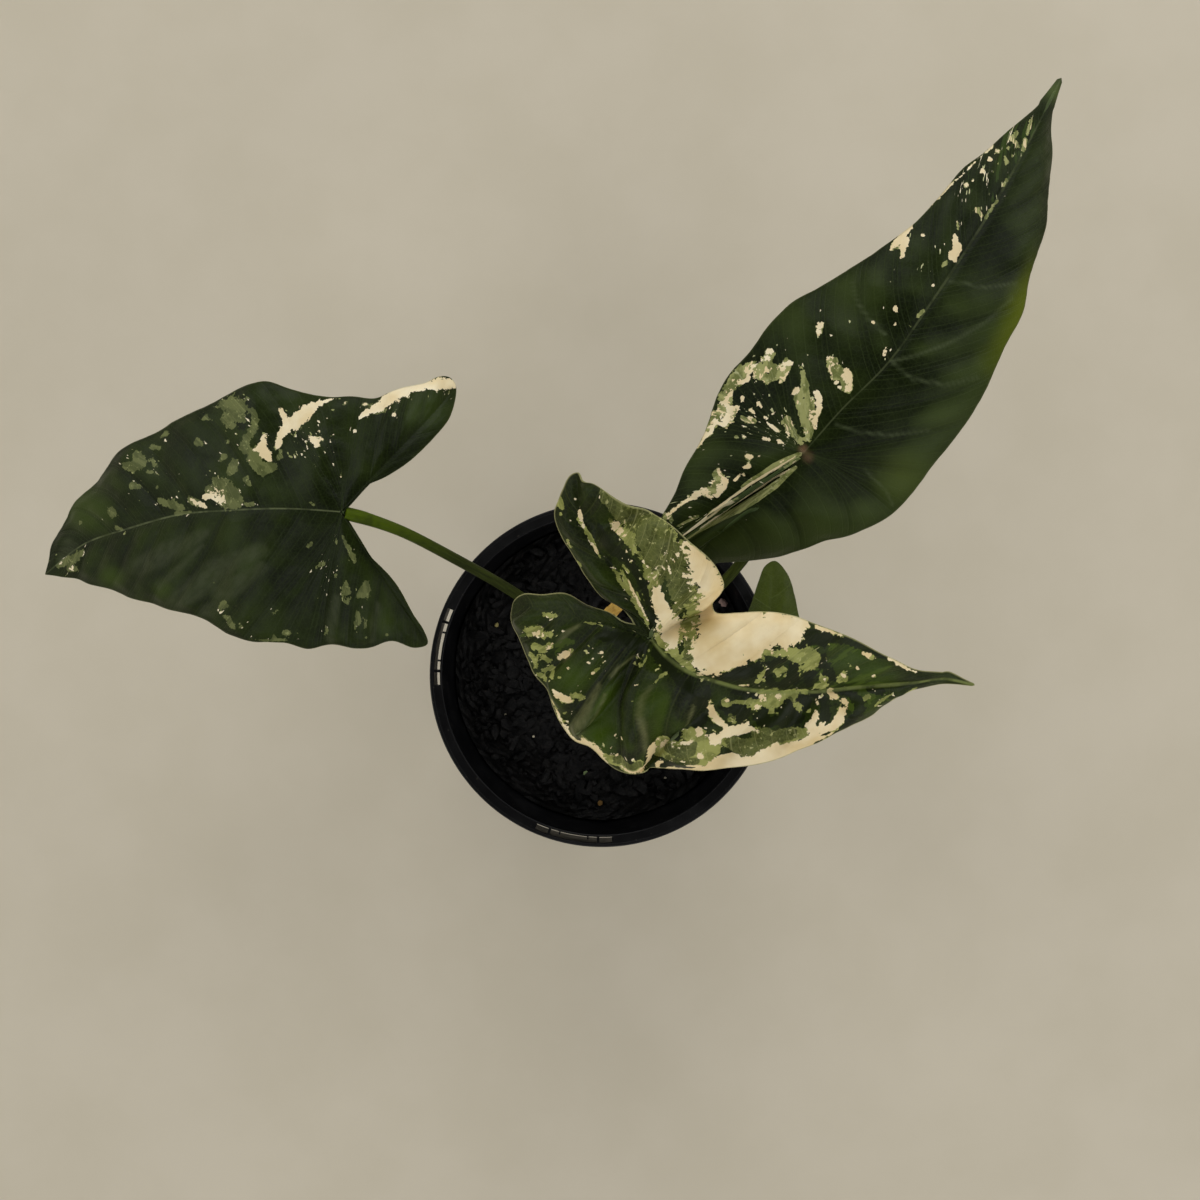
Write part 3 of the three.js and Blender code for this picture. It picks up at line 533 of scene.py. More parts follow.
def makeBlade(name, leaf, material, slot, node):
    strips = [strip for side, half in enumerate(leaf["halves"]) for strip in makeHalf(leaf, half, side)]
    raw = {key: np.concatenate([s[key].reshape(-1, 3) if key == "points" else s[key].ravel() for s in strips])
           for key in strips[0]}
    relief, form = leaf["relief"], bladeForm
    # faces over the unmerged grid, then one point for each place
    faces, start = [], 0
    for strip in strips:
        columns, rows = strip["reach"].shape
        index = start + np.arange(columns * rows).reshape(columns, rows)
        a, b, c, d = index[:-1, :-1], index[1:, :-1], index[1:, 1:], index[:-1, 1:]
        sheet = np.concatenate([np.stack(t, axis=-1).reshape(-1, 3) for t in ((a, b, c), (a, c, d))])
        normal = np.cross(raw["points"][sheet[:, 1]] - raw["points"][sheet[:, 0]],
                          raw["points"][sheet[:, 2]] - raw["points"][sheet[:, 0]])
        if normal[:, 2].sum() < 0:
            sheet = sheet[:, ::-1]
        faces.append(sheet)
        start += columns * rows
    faces = np.concatenate(faces)
    _, first, merged = np.unique(np.round(raw["points"] / form["mergeGap"]).astype(int), axis=0,
                                 return_index=True, return_inverse=True)
    merged = merged.ravel()
    cells = merged[faces]
    sound = (cells[:, 0] != cells[:, 1]) & (cells[:, 1] != cells[:, 2]) & (cells[:, 0] != cells[:, 2])
    faces, cells = faces[sound], cells[sound]

    def shared(values):
        total = np.zeros(len(first))
        np.add.at(total, merged, values)
        return total / np.bincount(merged)

    def normalsOf(points):
        a, b, c = (points[cells[:, corner]] for corner in range(3))
        normal = np.cross(b - a, c - a)
        total = np.zeros(points.shape)
        for corner in range(3):
            np.add.at(total, cells[:, corner], normal)
        return total / np.maximum(np.linalg.norm(total, axis=1), 1e-12)[:, None]

    points = raw["points"][first].copy()
    x, y = raw["points"][:, 0], raw["points"][:, 1]
    reach, edge, w = raw["reach"], raw["edge"], raw["w"]
    phase, pitch, strength = raw["phase"], raw["pitch"], raw["strength"]
    within = np.abs((phase % 1) * 2 - 1)
    veinGap = (1 - within) * pitch * 0.5
    # the blade puffs up between its veins, on the leaning half steeper towards one of them
    leaned = np.where(raw["side"] == 1, relief.get("lean", 1), 1)
    leaned = np.abs((phase % 1) ** leaned * 2 - 1)
    tame = ease(reach, *form["ribCalm"]) * ease(edge, *form["edgeCalm"])
    tame *= np.minimum(1, pitch / form["fullPitch"])
    lift = relief["puff"] + (relief["backPuff"] - relief["puff"]) * ease(w, 0.5, 1)
    puff = lift * (1 - leaned ** form["puffPower"]) * tame * (form["puffLeast"] + strength)
    margin = ease(edge, form["waveReach"], 0) * ease(reach, 0, form["waveFree"])
    puff += relief["wave"] * np.sin(phase * math.pi + raw["side"]) * margin
    for size, seed, share in form["wrinkles"]:
        puff += relief["wrinkle"] * share * ripple(x, y, size, seed) * ease(reach, 0, form["wrinkleFree"])
    tipFade = ease(w, 0, 0.25) * ease(np.abs(w - 2), 0, 0.4) * np.where(w > 1, 0.5, 1)
    puff -= relief["groove"] * np.exp(-(reach / form["grooveWidth"]) ** 2) * tipFade * (w < form["grooveEnd"])
    points += normalsOf(points) * shared(puff)[:, None]
    keel = relief["keel"] * np.exp(-(reach / form["keelWidth"]) ** 2) * tipFade
    keel *= ease(edge, *form["keelFree"])
    keel += relief["keel"] * form["veinKeelShare"] * np.exp(-(veinGap / form["veinKeelWidth"]) ** 2) * tame
    # painted shade along the vein valleys and painted light on the crests between them, for the colour only
    valley = np.exp(-(veinGap / form["valleyWidth"]) ** 2) * strength * ease(edge, *form["valleyFree"])
    uneven = 0.55 + 0.45 * ripple(x, y, form["crestSize"], form["crestSeed"])
    crest = (1 - within) * tame * uneven * (0.3 + strength)
    thinning = form["thinShare"] + (1 - form["thinShare"]) * ease(edge, 0, form["thinEdge"])
    thickness = relief["thickness"] * thinning + keel
    below = points - normalsOf(points) * shared(thickness)[:, None]

    # an underside, and a wall round the edge
    count = len(points)
    pairs = np.concatenate([cells[:, [0, 1]], cells[:, [1, 2]], cells[:, [2, 0]]])
    keys, inverse = pairs[:, 0] * count + pairs[:, 1], pairs[:, 1] * count + pairs[:, 0]
    openEdges = pairs[~np.isin(keys, inverse)]
    near, far = openEdges[:, 0], openEdges[:, 1]
    walls = np.concatenate([np.stack([near, near + count, far + count], axis=1),
                            np.stack([near, far + count, far], axis=1)])
    allFaces = np.concatenate([cells, cells[:, ::-1] + count, walls])
    source = np.concatenate([faces, faces[:, ::-1], first[walls % count]]).ravel()
    under = np.concatenate([np.zeros(faces.size), np.ones(faces.size), np.full(walls.size, 0.5)])

    mesh = startMesh(name, np.vstack([points, below]), allFaces.tolist())
    shadeSmooth(mesh)
    x, y = toPlan(raw["points"])
    strokes = ("pale", "light", "sage", "dark", "cream")
    fields = {key: strokeField(leaf.get(key, []), x, y) for key in strokes}
    light = np.minimum(fields["light"], -fields["dark"])
    cream = np.minimum(fields["pale"], np.minimum(-fields["light"], -fields["dark"]))
    cream = np.maximum(fields["cream"], cream)
    clear = raw["side"] == leaf.get("clearHalf", -1)
    fleck = np.where(clear, -1, spots(x, y, leaf.get("flecks", []), form["fleckCore"]))
    marble = np.where(clear, 0, spots(x, y, leaf.get("marble", []), form["marbleCore"]))
    marble -= spots(x, y, leaf.get("blush", []), 0)
    yellowing = spots(x, y, leaf.get("yellowing", []), 0)
    # a brighter green that is partly painted light, less the painted shade of the shadow marks
    brightAndLitGreen = spots(x, y, leaf.get("brightAndLitGreen", []), 0) - spots(x, y, leaf.get("shadow", []), 0)
    # runs of painted highlight along the lit ridges
    paintedHighlight = ease(strokeField(leaf.get("paintedHighlight", []), x, y), *form["paintedHighlightEdge"])
    calm = spots(x, y, leaf.get("calm", []), form["calmCore"])
    layers = {
        "grain": (reach, (phase + raw["side"] * leafLook["halfShift"]) * leafLook["pitchPhase"], marble),
        "pattern": (np.clip(light, -8, 8), np.clip(cream, -8, 8), fleck),
        "place": (reach + 9 * (w > form["frontRib"]), edge, None),
        "tone": (yellowing, pitch, crest - valley),
        "shade": (fields["sage"], fields["dark"], brightAndLitGreen),
        "finish": (paintedHighlight, calm, None),
    }
    for label, values in layers.items():
        layer = mesh.attributes.new(label, "FLOAT_VECTOR", "CORNER")
        columns = [under if value is None else value[source] for value in values]
        layer.data.foreach_set("vector", np.stack(columns, axis=1).astype(np.float32).ravel())
    placePiece(name, mesh, material, slot, node)


# Each leaf's points are the CAD model's; a margin point is x, y, z and the swell beside it. Veins are
# (start, end) or (start, end, strength): where one leaves the rib and where it meets the margin, counted 0 at
# the tip, 1 at the petiole, 2 at the end of the basal lobe and 3 at the notch.
# Paint strokes are runs of (x, y, radius) in pixels of the plan view: cream sectors (pale),
# the grey-green (light), its deeper parts (sage) and the dark green that stand on them, and cream spots on
# top. Runs of painted highlight along the lit ridges are soft. The rest are soft round marks of (x, y,
# radius, share): among them a brighter green that is partly painted light, and painted shade; where it
# is calm, the patches keep cleaner edges.
frontVeins = [(0.1, 0.04), (0.2, 0.1), (0.3, 0.17), (0.4, 0.26), (0.5, 0.35), (0.6, 0.44), (0.7, 0.54),
              (0.8, 0.63), (0.9, 0.72)]
leftVeins = frontVeins + [(1, 0.8), (1, 0.93), (1, 1.1), (1.22, 1.33), (1.42, 1.53), (1.62, 1.72),
                          (1.82, 1.88), (2.2, 2.1), (2.42, 2.3), (2.66, 2.5)]
longVeins = frontVeins + [(1, 0.82), (1, 0.95), (1, 1.12), (1, 1.34), (1.3, 1.55), (1.55, 1.75), (1.8, 1.9),
                          (2.3, 2.3), (2.7, 2.7)]
smallVeins = [(0.25, 0.1), (0.5, 0.35), (0.75, 0.6), (1, 0.85), (1, 1.05), (1.3, 1.4), (1.6, 1.7), (2.5, 2.5)]
leftLeaf = {
    "tipRadius": 0.4, "tipSpread": 0.1, "notchGap": 0.5, "notchLift": 2.5,
    "midrib": [(-157, 30, 117), (-142, 38, 127), (-126, 41.5, 138), (-108.5, 44.5, 149), (-92.5, 45, 158),
               (-77, 45, 164), (-63, 44, 167)],
    "halves": [
        {"rib": [(-56, 52, 166), (-48, 61, 163.5), (-41, 70, 158)],
         "margin": [(-154, 38, 119, 0), (-147, 48, 123, 0.5), (-138, 54.5, 129, 1), (-128, 62.5, 136, 1.5),
                    (-116, 67, 142, 1), (-106, 70.5, 147, 2), (-97, 74, 151, 1), (-88.5, 76.5, 155, 2),
                    (-84, 77.5, 156, 1), (-77.5, 75.5, 156, 0.5), (-68, 73, 158.5, 2), (-62, 73, 158.5, 0),
                    (-57, 73, 158, 1), (-51, 75, 157, 1.5), (-45, 77, 156, 1), (-38.5, 79, 153, 0.5),
                    (-37, 77, 152, 0), (-37.5, 70, 154, 0.5), (-40, 64.5, 157, 0.5), (-45, 58.5, 160, 0.5),
                    (-51.5, 53, 163, 0.5), (-57.5, 50, 165, 0.2), (-61.5, 46.5, 166.5, 0)],
         "shoulder": 11, "lobe": 16,
         "veins": leftVeins},
        {"rib": [(-58.5, 36, 164.5), (-53.5, 27, 160), (-48, 17, 151.5)],
         "margin": [(-149.5, 29, 119, 0), (-140, 27, 124, 0.5), (-129, 24, 130, 1), (-118, 21, 136, 2),
                    (-108, 19, 141, 1), (-101, 16.5, 144, 0.5), (-95, 13.5, 146, 2), (-89.5, 12, 148, 1.5),
                    (-80.5, 12, 150, 0), (-75, 10.5, 149.5, 0.5), (-67.5, 11.5, 152, 2),
                    (-59.5, 10.5, 151, 1), (-53, 12.5, 152, 0), (-48, 10.5, 148, 0.5), (-45, 11.5, 146, 0),
                    (-45.5, 15, 148, 0.2), (-47.5, 19, 151, 0.5), (-50, 25, 155, 0.5), (-52.5, 29, 158, 0.5),
                    (-56, 33, 161, 0.5), (-59.5, 36.5, 163.5, 0.2), (-62.5, 41.5, 166, 0)],
         "shoulder": 9, "lobe": 14,
         "veins": leftVeins},
    ],
    "grid": {"front": 160, "lobe": 60, "rows": 58},
    "relief": {"puff": 0.6, "backPuff": 0.7, "wave": 0.35, "wrinkle": 0.14,
               "groove": 0.3, "keel": 0.9, "thickness": 0.5},
    # paint
    "light": [
        [(222, 404, 5), (232, 403, 8), (240, 406, 8), (236, 416, 9), (228, 419, 6), (232, 426, 4)],
        [(248, 402, 4)],
        [(253, 411, 2.5), (256, 420, 2.5), (254, 430, 3), (249, 438, 4), (245, 447, 5), (252, 453, 5.5),
         (257, 462, 6), (263, 470, 5.5), (272, 467, 4.5)], [(279, 457, 3), (281, 452, 2.5)],
        [(206, 418, 3), (212, 420, 1.5)], [(200, 443, 4.5)], [(225, 457, 3), (222, 461, 2)],
        [(235, 463, 4), (233, 471, 4.5)], [(228, 442, 1.5)],
        [(217, 482, 6), (224, 487, 8), (232, 495, 8), (238, 502, 6), (226, 505, 5), (212, 490, 5)],
        [(246, 504, 3), (253, 504, 2.5)], [(247, 479, 3), (250, 485, 2)], [(191, 500, 3.5), (197, 503, 4)],
        [(161, 502, 3.5), (172, 504, 5), (182, 508, 3)], [(176, 514, 2), (190, 512, 1.5)],
        [(140, 455, 5), (142, 464, 6), (134, 468, 5), (126, 466, 3)], [(150, 472, 2.5), (158, 474, 1.5)],
        [(152, 459, 2), (156, 466, 2)], [(152, 447, 2), (160, 448, 2.5)], [(166, 434, 3.5), (161, 437, 1.5)],
        [(134, 486, 3), (140, 487, 1.5)], [(158, 488, 1.5)], [(114, 513, 5), (112, 509, 3)],
        [(117, 528, 2), (121, 529, 1.5)], [(82, 523, 2)],
        [(58, 566, 2), (64, 562, 3.5), (72, 560, 4), (78, 556, 4), (82, 552, 3)],
        [(70, 568, 3), (76, 569, 2.5)], [(49, 561, 1)], [(316, 569, 1.5), (322, 563, 3)],
        [(346, 591, 5), (346, 583, 3)], [(364, 592, 5.5), (366, 584, 4), (358, 596, 3)],
        [(343, 535, 1.5), (348, 547, 2), (352, 555, 2.5), (355, 562, 1.5)], [(337, 575, 2)],
        [(309, 546, 1.2), (313, 542, 1.2)], [(336, 545, 1), (337, 537, 1)], [(224, 604, 4), (222, 608, 2)],
        [(214, 582, 1.5)], [(227, 617, 2.5), (235, 625, 3.2)], [(242, 625, 1.6)],
        [(250, 640, 1), (265, 641.5, 1), (290, 639, 1.2)], [(275, 636, 1.6)],
        [(285, 632, 2), (289, 633, 2.2)], [(297, 633, 1.4)], [(327, 630, 2.4), (325, 634, 1.4)],
        [(274, 613, 1.6), (278, 609, 1)], [(387, 634, 1.3)], [(347, 602, 1.8), (350, 598, 1)],
        [(358, 612, 2.2), (357, 621, 3), (355, 627, 1.4)], [(366, 618, 1), (365, 626, 1.2)],
        [(366, 637, 1.3)], [(310, 502, 1.5), (314, 505, 2)],
    ],
    "dark": [[(237, 423, 3), (243, 427, 5)], [(250, 404, 2.5)]],
    "cream": [
        [(338, 398, 1.5), (328, 401, 2), (318, 404, 4), (310, 409, 6), (303, 417, 7), (295, 424, 6),
         (288, 428, 4.5), (282, 434, 4), (279, 441, 3.5), (278, 447, 2.5)],
        [(281, 410, 2.5), (284, 416, 2.5), (287, 423, 4)],
        [(264, 436, 2), (264, 443, 2.5), (261, 449, 4), (266, 455, 5), (270, 460, 3)],
        [(313, 440, 4), (319, 441, 3), (318, 446, 2.5)],
        [(360, 417, 1.5), (366, 414, 2.5), (374, 410, 4.5), (382, 405, 6), (392, 398, 7), (402, 393, 6),
         (414, 387, 5), (426, 385, 5.5), (435, 386, 6), (445, 384, 6), (452, 384, 5)],
        [(206, 497, 3), (213, 494, 4), (218, 497, 5), (222, 500, 4)],
        [(193, 501, 2), (200, 504, 3), (206, 507, 2)], [(355, 431, 1.5)], [(346, 403, 1.5), (344, 406, 1.5)],
        [(365, 404, 1.5)], [(395, 417, 1.5)], [(331, 437, 1.5)], [(74, 565, 1), (73, 570, 1.2)],
        [(61, 563, 1)], [(340, 473, 1.2), (341, 477, 1)], [(306, 449, 1.2)], [(309, 454, 1.2)],
        [(311, 459, 1.2)], [(314, 464, 1.2)], [(303, 455, 1)], [(299, 444, 1.5)], [(323, 439, 1.2)],
        [(319, 432, 1)], [(327, 418, 1)], [(322, 422, 1)], [(329, 407, 1)], [(311, 428, 1.2)],
    ],
    "flecks": [(312, 445, 45, 0.62), (345, 590, 50, 0.5), (270, 440, 60, 0.4), (150, 480, 60, 0.5),
               (340, 400, 26, 0.5), (72, 562, 22, 0.6)],
    # brighter green that is partly painted light, then painted shade, then runs of painted highlight along
    # the lit ridges
    "brightAndLitGreen": [(88, 510, 38, 0.7), (113, 577, 18, 0.9), (162, 588, 15, 0.7), (250, 562, 30, 0.4),
              (430, 408, 40, 0.5), (385, 622, 24, 0.5)],
    "shadow": [(300, 545, 34, 0.8), (285, 576, 18, 0.6), (335, 498, 46, 0.8), (385, 440, 34, 0.6),
               (262, 534, 22, 0.4), (335, 535, 26, 0.6), (185, 524, 16, 0.4), (300, 610, 24, 0.3)],
    "paintedHighlight": [[(142, 566, 7), (165, 553, 8), (190, 542, 6), (206, 532, 3)],
              [(178, 602, 7), (196, 588, 9), (214, 572, 9), (236, 561, 7), (262, 549, 5)],
              [(222, 592, 8), (242, 582, 7), (262, 566, 4)],
              [(160, 585, 3), (182, 566, 2), (204, 545, 1)], [(205, 612, 5), (222, 604, 4)],
              [(330, 640, 3), (334, 618, 4), (338, 598, 3)],
              [(372, 640, 2), (374, 622, 3), (378, 604, 2)], [(70, 545, 5), (64, 560, 5)]],
}
longLeaf = {
    "tipRadius": 0.8, "tipSpread": 0.16,
    "midrib": [(103, 140, 186), (97.5, 130.5, 190.5), (90, 118, 197), (80, 102, 203), (69, 86, 208),
               (58, 71, 211), (48.5, 61.5, 212), (41, 53, 212)],
    "halves": [
        {"rib": [(28, 44.5, 209), (18, 39, 205)],
         "margin": [(97, 133, 189, 0), (90, 126.5, 193, 0.3), (83, 120, 197, 0.5), (76.5, 114.5, 200, 0.8),
                    (72, 109, 201, 1), (63, 100, 203.5, 1.5), (57, 95.5, 204, 1.5), (51, 92, 204, 2),
                    (45.5, 88.5, 203, 1.5), (40, 85.5, 202, 2), (35, 81, 201, 1.5), (31, 75.5, 200, 2),
                    (27.5, 71.5, 200, 1.5), (25, 67.5, 200, 1), (21.5, 58.5, 201, 1.5), (20, 55, 201, 1),
                    (16.5, 49, 202, 1), (14, 43, 202, 0.8), (12, 39.5, 201, 0.5), (11, 36, 200, 0),
                    (13, 33.8, 201, 0), (17, 36, 204, 0)],
         "shoulder": 13, "lobe": 19,
         "veins": longVeins},
        {"rib": [(30, 41, 209), (22, 34.5, 203)],
         "margin": [(100.5, 133, 188, 0), (99.5, 127.5, 189.5, 0.3), (98.5, 119, 192, 0.8),
                    (97, 110.5, 194.5, 1), (94.5, 100, 197, 1.5), (91, 90.5, 199, 1.5), (89, 83.5, 200, 2),
                    (84.5, 74.5, 201, 1.5), (80.5, 67, 202, 2), (77.5, 61, 202, 1.5), (73.5, 55.5, 201, 1.5),
                    (69, 50, 200, 2), (66, 46, 200, 1), (62.5, 41.5, 199, 1), (59.5, 39.5, 199, 1.5),
                    (53.5, 37, 199, 1.5), (47.5, 35.5, 199, 1), (43, 33.5, 199, 1), (38, 32, 198, 1.2),
                    (32.5, 31.5, 198, 1), (27.5, 31, 198, 0.8), (23.5, 30.5, 198, 0.5), (19.5, 30, 198, 0),
                    (16.5, 31.8, 200, 0), (17, 36, 204, 0)],
         "shoulder": 12, "lobe": 22,
         "veins": longVeins},
    ],
    "grid": {"front": 160, "lobe": 100, "rows": 52},
    "relief": {"puff": 0.3, "backPuff": 0.4, "wave": 0.25, "wrinkle": 0.1,
               "groove": 0.3, "keel": 0.9, "thickness": 0.5},
    # paint
    "light": [
        [(771, 354, 4), (765, 362, 5), (760, 370, 7), (757, 378, 4)],
        [(770, 368, 6), (778, 370, 6), (774, 377, 5), (766, 378, 5)],
        [(787, 364, 5), (786, 371, 4), (782, 379, 3)],
        [(752, 366, 4), (745, 370, 6), (738, 376, 7), (733, 384, 6), (728, 391, 6), (727, 399, 7),
         (724, 406, 6), (718, 414, 6), (712, 423, 4), (706, 431, 3), (700, 439, 2.5)],
        [(735, 411, 3.5), (730, 419, 4)], [(742, 418, 2), (748, 421, 3.5), (754, 420, 3)], [(737, 437, 2)],
        [(801, 366, 1.5), (803, 374, 2), (805, 384, 3), (807, 392, 3.5), (809, 400, 3)],
        [(797, 392, 4), (799, 400, 4), (802, 408, 4.5), (804, 418, 4), (806, 428, 3.5), (808, 438, 3)],
        [(812, 402, 4), (811, 414, 4), (812, 424, 3), (811, 434, 2)],
        [(783, 423, 2.5), (788, 420, 4), (790, 427, 5), (794, 433, 4), (799, 441, 3), (802, 447, 1.5)],
        [(832, 362, 5), (836, 370, 6), (842, 375, 6), (846, 381, 5), (845, 388, 4)], [(834, 378, 3)],
        [(717, 474, 4), (719, 482, 6), (713, 490, 6), (705, 492, 5)],
        [(664, 520, 2), (668, 516, 3), (672, 520, 2.5)], [(678, 526, 1.2), (690, 520, 1.5), (698, 516, 1.2)],
        [(800, 454, 2.5), (788, 459.5, 3.2), (774, 467, 3.4), (762, 475, 3), (750, 481, 2.2),
         (742, 487, 1.4)],
        [(796, 467, 1.5), (786, 475, 3), (775, 485, 4), (762, 494, 4.3), (750, 502, 4.3), (738, 510, 3.8),
         (722, 518, 3), (708, 526, 2.3), (695, 533, 1.8), (685, 539, 1.3)],
        [(1032, 118, 1.2), (1030, 125, 2), (1028, 133, 2)], [(1026, 141, 2.5), (1024, 149, 2)],
        [(1017, 133, 2), (1012, 139, 2.2), (1018, 146, 2.4)], [(1008, 148, 1.5)],
        [(1004, 158, 1.5), (1007, 163, 2.4)], [(1013, 156, 1.2)], [(998, 164, 1.2)], [(993, 172, 1.2)],
        [(977, 210, 3), (981, 215, 2)], [(1008, 178, 1.5), (1004, 185, 1.5)],
        [(998, 200, 1), (992, 208, 1.2), (986, 218, 1)], [(910, 327, 1.5)], [(918, 316, 2), (924, 310, 1.5)],
        [(942, 267, 1.5), (946, 263, 2)], [(957, 222, 1), (958, 230, 1)],
    ],
    "dark": [
        [(797, 460.5, 0.6), (780, 470.5, 1), (765, 479.5, 1.1), (750, 489, 1.2), (735, 499.5, 1.1),
         (720, 510.5, 1), (705, 521.5, 0.7)],
        [(780, 477, 0.6), (765, 487.5, 0.7), (750, 496.5, 0.7), (735, 506.5, 0.6)], [(745, 381, 1.5)],
        [(742, 372, 1.5)], [(762, 364, 1.5)], [(768, 374, 2)],
    ],
    "cream": [
        [(770, 353, 3.5), (767, 358, 3)], [(791, 364, 2), (786, 363, 3.5), (783, 367, 3), (786, 372, 2)],
        [(783, 379, 2), (781, 383, 1.5)], [(754, 367, 2.5), (749, 372, 2)],
        [(748, 379, 2.5), (741, 384, 2.5)],
        [(731, 393, 1.5), (727, 398, 2.5), (726, 404, 3), (731, 410, 4), (736, 408, 2.5)],
        [(729, 416, 4), (724, 425, 4), (716, 423, 3), (710, 430, 3), (704, 438, 2.2), (698, 447, 1.5)],
        [(742, 401, 1.5), (743, 397, 1.2)], [(750, 400, 1.2)],
        [(756, 397, 1.2), (758, 402, 1.8), (761, 408, 1.8)], [(757, 389, 1.2)],
        [(751, 410, 1.4), (755, 413, 1.2)], [(767, 417, 2.2)], [(774, 413, 1.5)],
        [(768, 422, 1.2), (773, 427, 1.5), (778, 431, 1.2)], [(750, 418, 1.5)],
        [(763, 438, 1.8), (769, 440, 1.5)], [(779, 441, 2), (783, 444, 1.5)], [(744, 437, 1.2)],
        [(747, 457, 2), (751, 457, 2.5)], [(760, 457, 2)], [(744, 468, 1.5), (749, 467, 2.4)],
        [(718, 470, 2), (722, 476, 2), (726, 481, 3), (723, 487, 4), (717, 495, 3)],
        [(711, 497, 2), (703, 491, 2.5), (695, 496, 3), (688, 501, 2.5), (680, 506, 2.2), (673, 512, 2.2),
         (668, 515, 2)], [(735, 480, 2), (739, 476, 1.3)], [(744, 475, 1.3)], [(829, 358, 3), (832, 362, 3)],
        [(846, 371, 3), (849, 377, 3), (848, 384, 4), (847, 390, 3)], [(836, 383, 2.5)], [(840, 388, 2)],
        [(816, 392, 2.5), (819, 398, 3), (820, 404, 2.5), (818, 412, 2), (816, 420, 1.5), (815, 429, 1.2)],
        [(793, 394, 1.5), (797, 390, 3)], [(812, 412, 1.2), (812, 420, 1.2)],
        [(786, 430, 1.3), (788, 436, 1.6)], [(885, 348, 1.6), (885, 355, 1.3)], [(787, 339, 1.4)],
        [(819, 325, 3), (819, 332, 2)], [(831, 336, 1.4)],
        [(912, 223, 2), (907, 230, 4), (901, 237, 3), (896, 244, 2.5), (891, 250, 2)],
        [(906, 240, 4), (904, 250, 3), (902, 258, 2)],
        [(922, 213, 1.2), (935, 201, 1), (945, 191, 1), (957, 180, 1), (968, 169, 1), (980, 157, 1),
         (992, 146, 1)], [(954, 236, 1.4), (956, 243, 3.4), (957, 250, 4), (953, 256, 5), (955, 262, 2)],
        [(896, 309, 2.2)], [(873, 323, 2.2)], [(895, 325, 1.6)], [(923, 235, 2)], [(933, 285, 1.3)],
        [(928, 261, 1.2)], [(998, 152, 2.2)], [(990, 160, 2)], [(982, 171, 2.4)], [(966, 184, 2)],
        [(973, 180, 1.3)],
        [(795, 457, 0.8), (780, 466, 1.1), (765, 475, 1.2), (750, 484, 1.2), (735, 495, 1.3), (720, 506, 1.4),
         (705, 518, 1.4), (690, 530, 1.2), (681, 537, 0.9)],
        [(790, 469, 0.7), (765, 484, 0.9), (750, 493.5, 1), (735, 503.5, 1), (720, 514, 0.9),
         (705, 524.5, 0.8), (690, 534, 0.6)],
    ],
    "flecks": [(1015, 145, 34, 0.7), (985, 185, 40, 0.7), (955, 218, 45, 0.5), (935, 265, 40, 0.4),
               (900, 300, 60, 0.35), (830, 345, 50, 0.45), (765, 415, 45, 0.65), (735, 470, 35, 0.5),
               (755, 370, 26, 0.7), (720, 415, 22, 0.7)],
    "clearHalf": 1,           # the half that has no flecks and no marbling
    "blush": [(803, 449, 7, 0.65), (808, 457, 9, 0.35)],
    "yellowing": [(1038, 262, 20, 0.15), (1034, 280, 24, 0.35), (1028, 298, 28, 0.5),
                  (1020, 318, 30, 0.5), (1010, 340, 30, 0.4), (998, 362, 30, 0.25), (900, 476, 40, 0.12)],
    # brighter green that is partly painted light, then painted shade, then runs of painted highlight along
    # the lit ridges
    "brightAndLitGreen": [(1054, 90, 20, 1), (705, 548, 60, 0.3), (745, 546, 60, 0.3), (785, 540, 60, 0.35),
              (825, 528, 60, 0.35), (865, 510, 55, 0.3), (900, 482, 55, 0.4), (930, 450, 50, 0.3),
              (958, 412, 50, 0.3), (982, 370, 50, 0.25), (1005, 325, 50, 0.25), (850, 294, 44, 0.35),
              (785, 314, 44, 0.25), (700, 462, 40, 0.2), (1012, 230, 45, 0.15)],
    "shadow": [(862, 425, 56, 0.9), (848, 478, 40, 0.7), (900, 385, 44, 0.7), (905, 320, 34, 0.5),
               (984, 242, 38, 0.6), (780, 500, 26, 0.4), (760, 400, 60, 0.6)],
    "paintedHighlight": [[(892, 361, 0.7), (915, 356, 0.7), (945, 345, 0.7), (985, 322, 0.6), (1012, 298, 0.5)],
              [(893, 363, 0.6), (912, 379, 0.7), (945, 385, 0.6), (978, 377, 0.4)],
              [(836, 424, 0.6), (860, 432, 0.7), (890, 435, 0.6), (930, 430, 0.4)],
              [(950, 281, 0.5), (985, 288, 0.6), (1016, 283, 0.4)],
              [(865, 470, 0.5), (885, 490, 0.6), (893, 505, 0.4)],
              [(885, 335, 0.5), (868, 318, 0.6), (856, 300, 0.6), (853, 282, 0.4)]],
    "calm": [(785, 470, 26, 0.9), (765, 482, 26, 0.9), (742, 497, 24, 0.9), (718, 514, 22, 0.9),
             (696, 530, 22, 0.9)],
    "marble": [(1018, 140, 30, 0.5), (988, 182, 34, 0.35)],
}
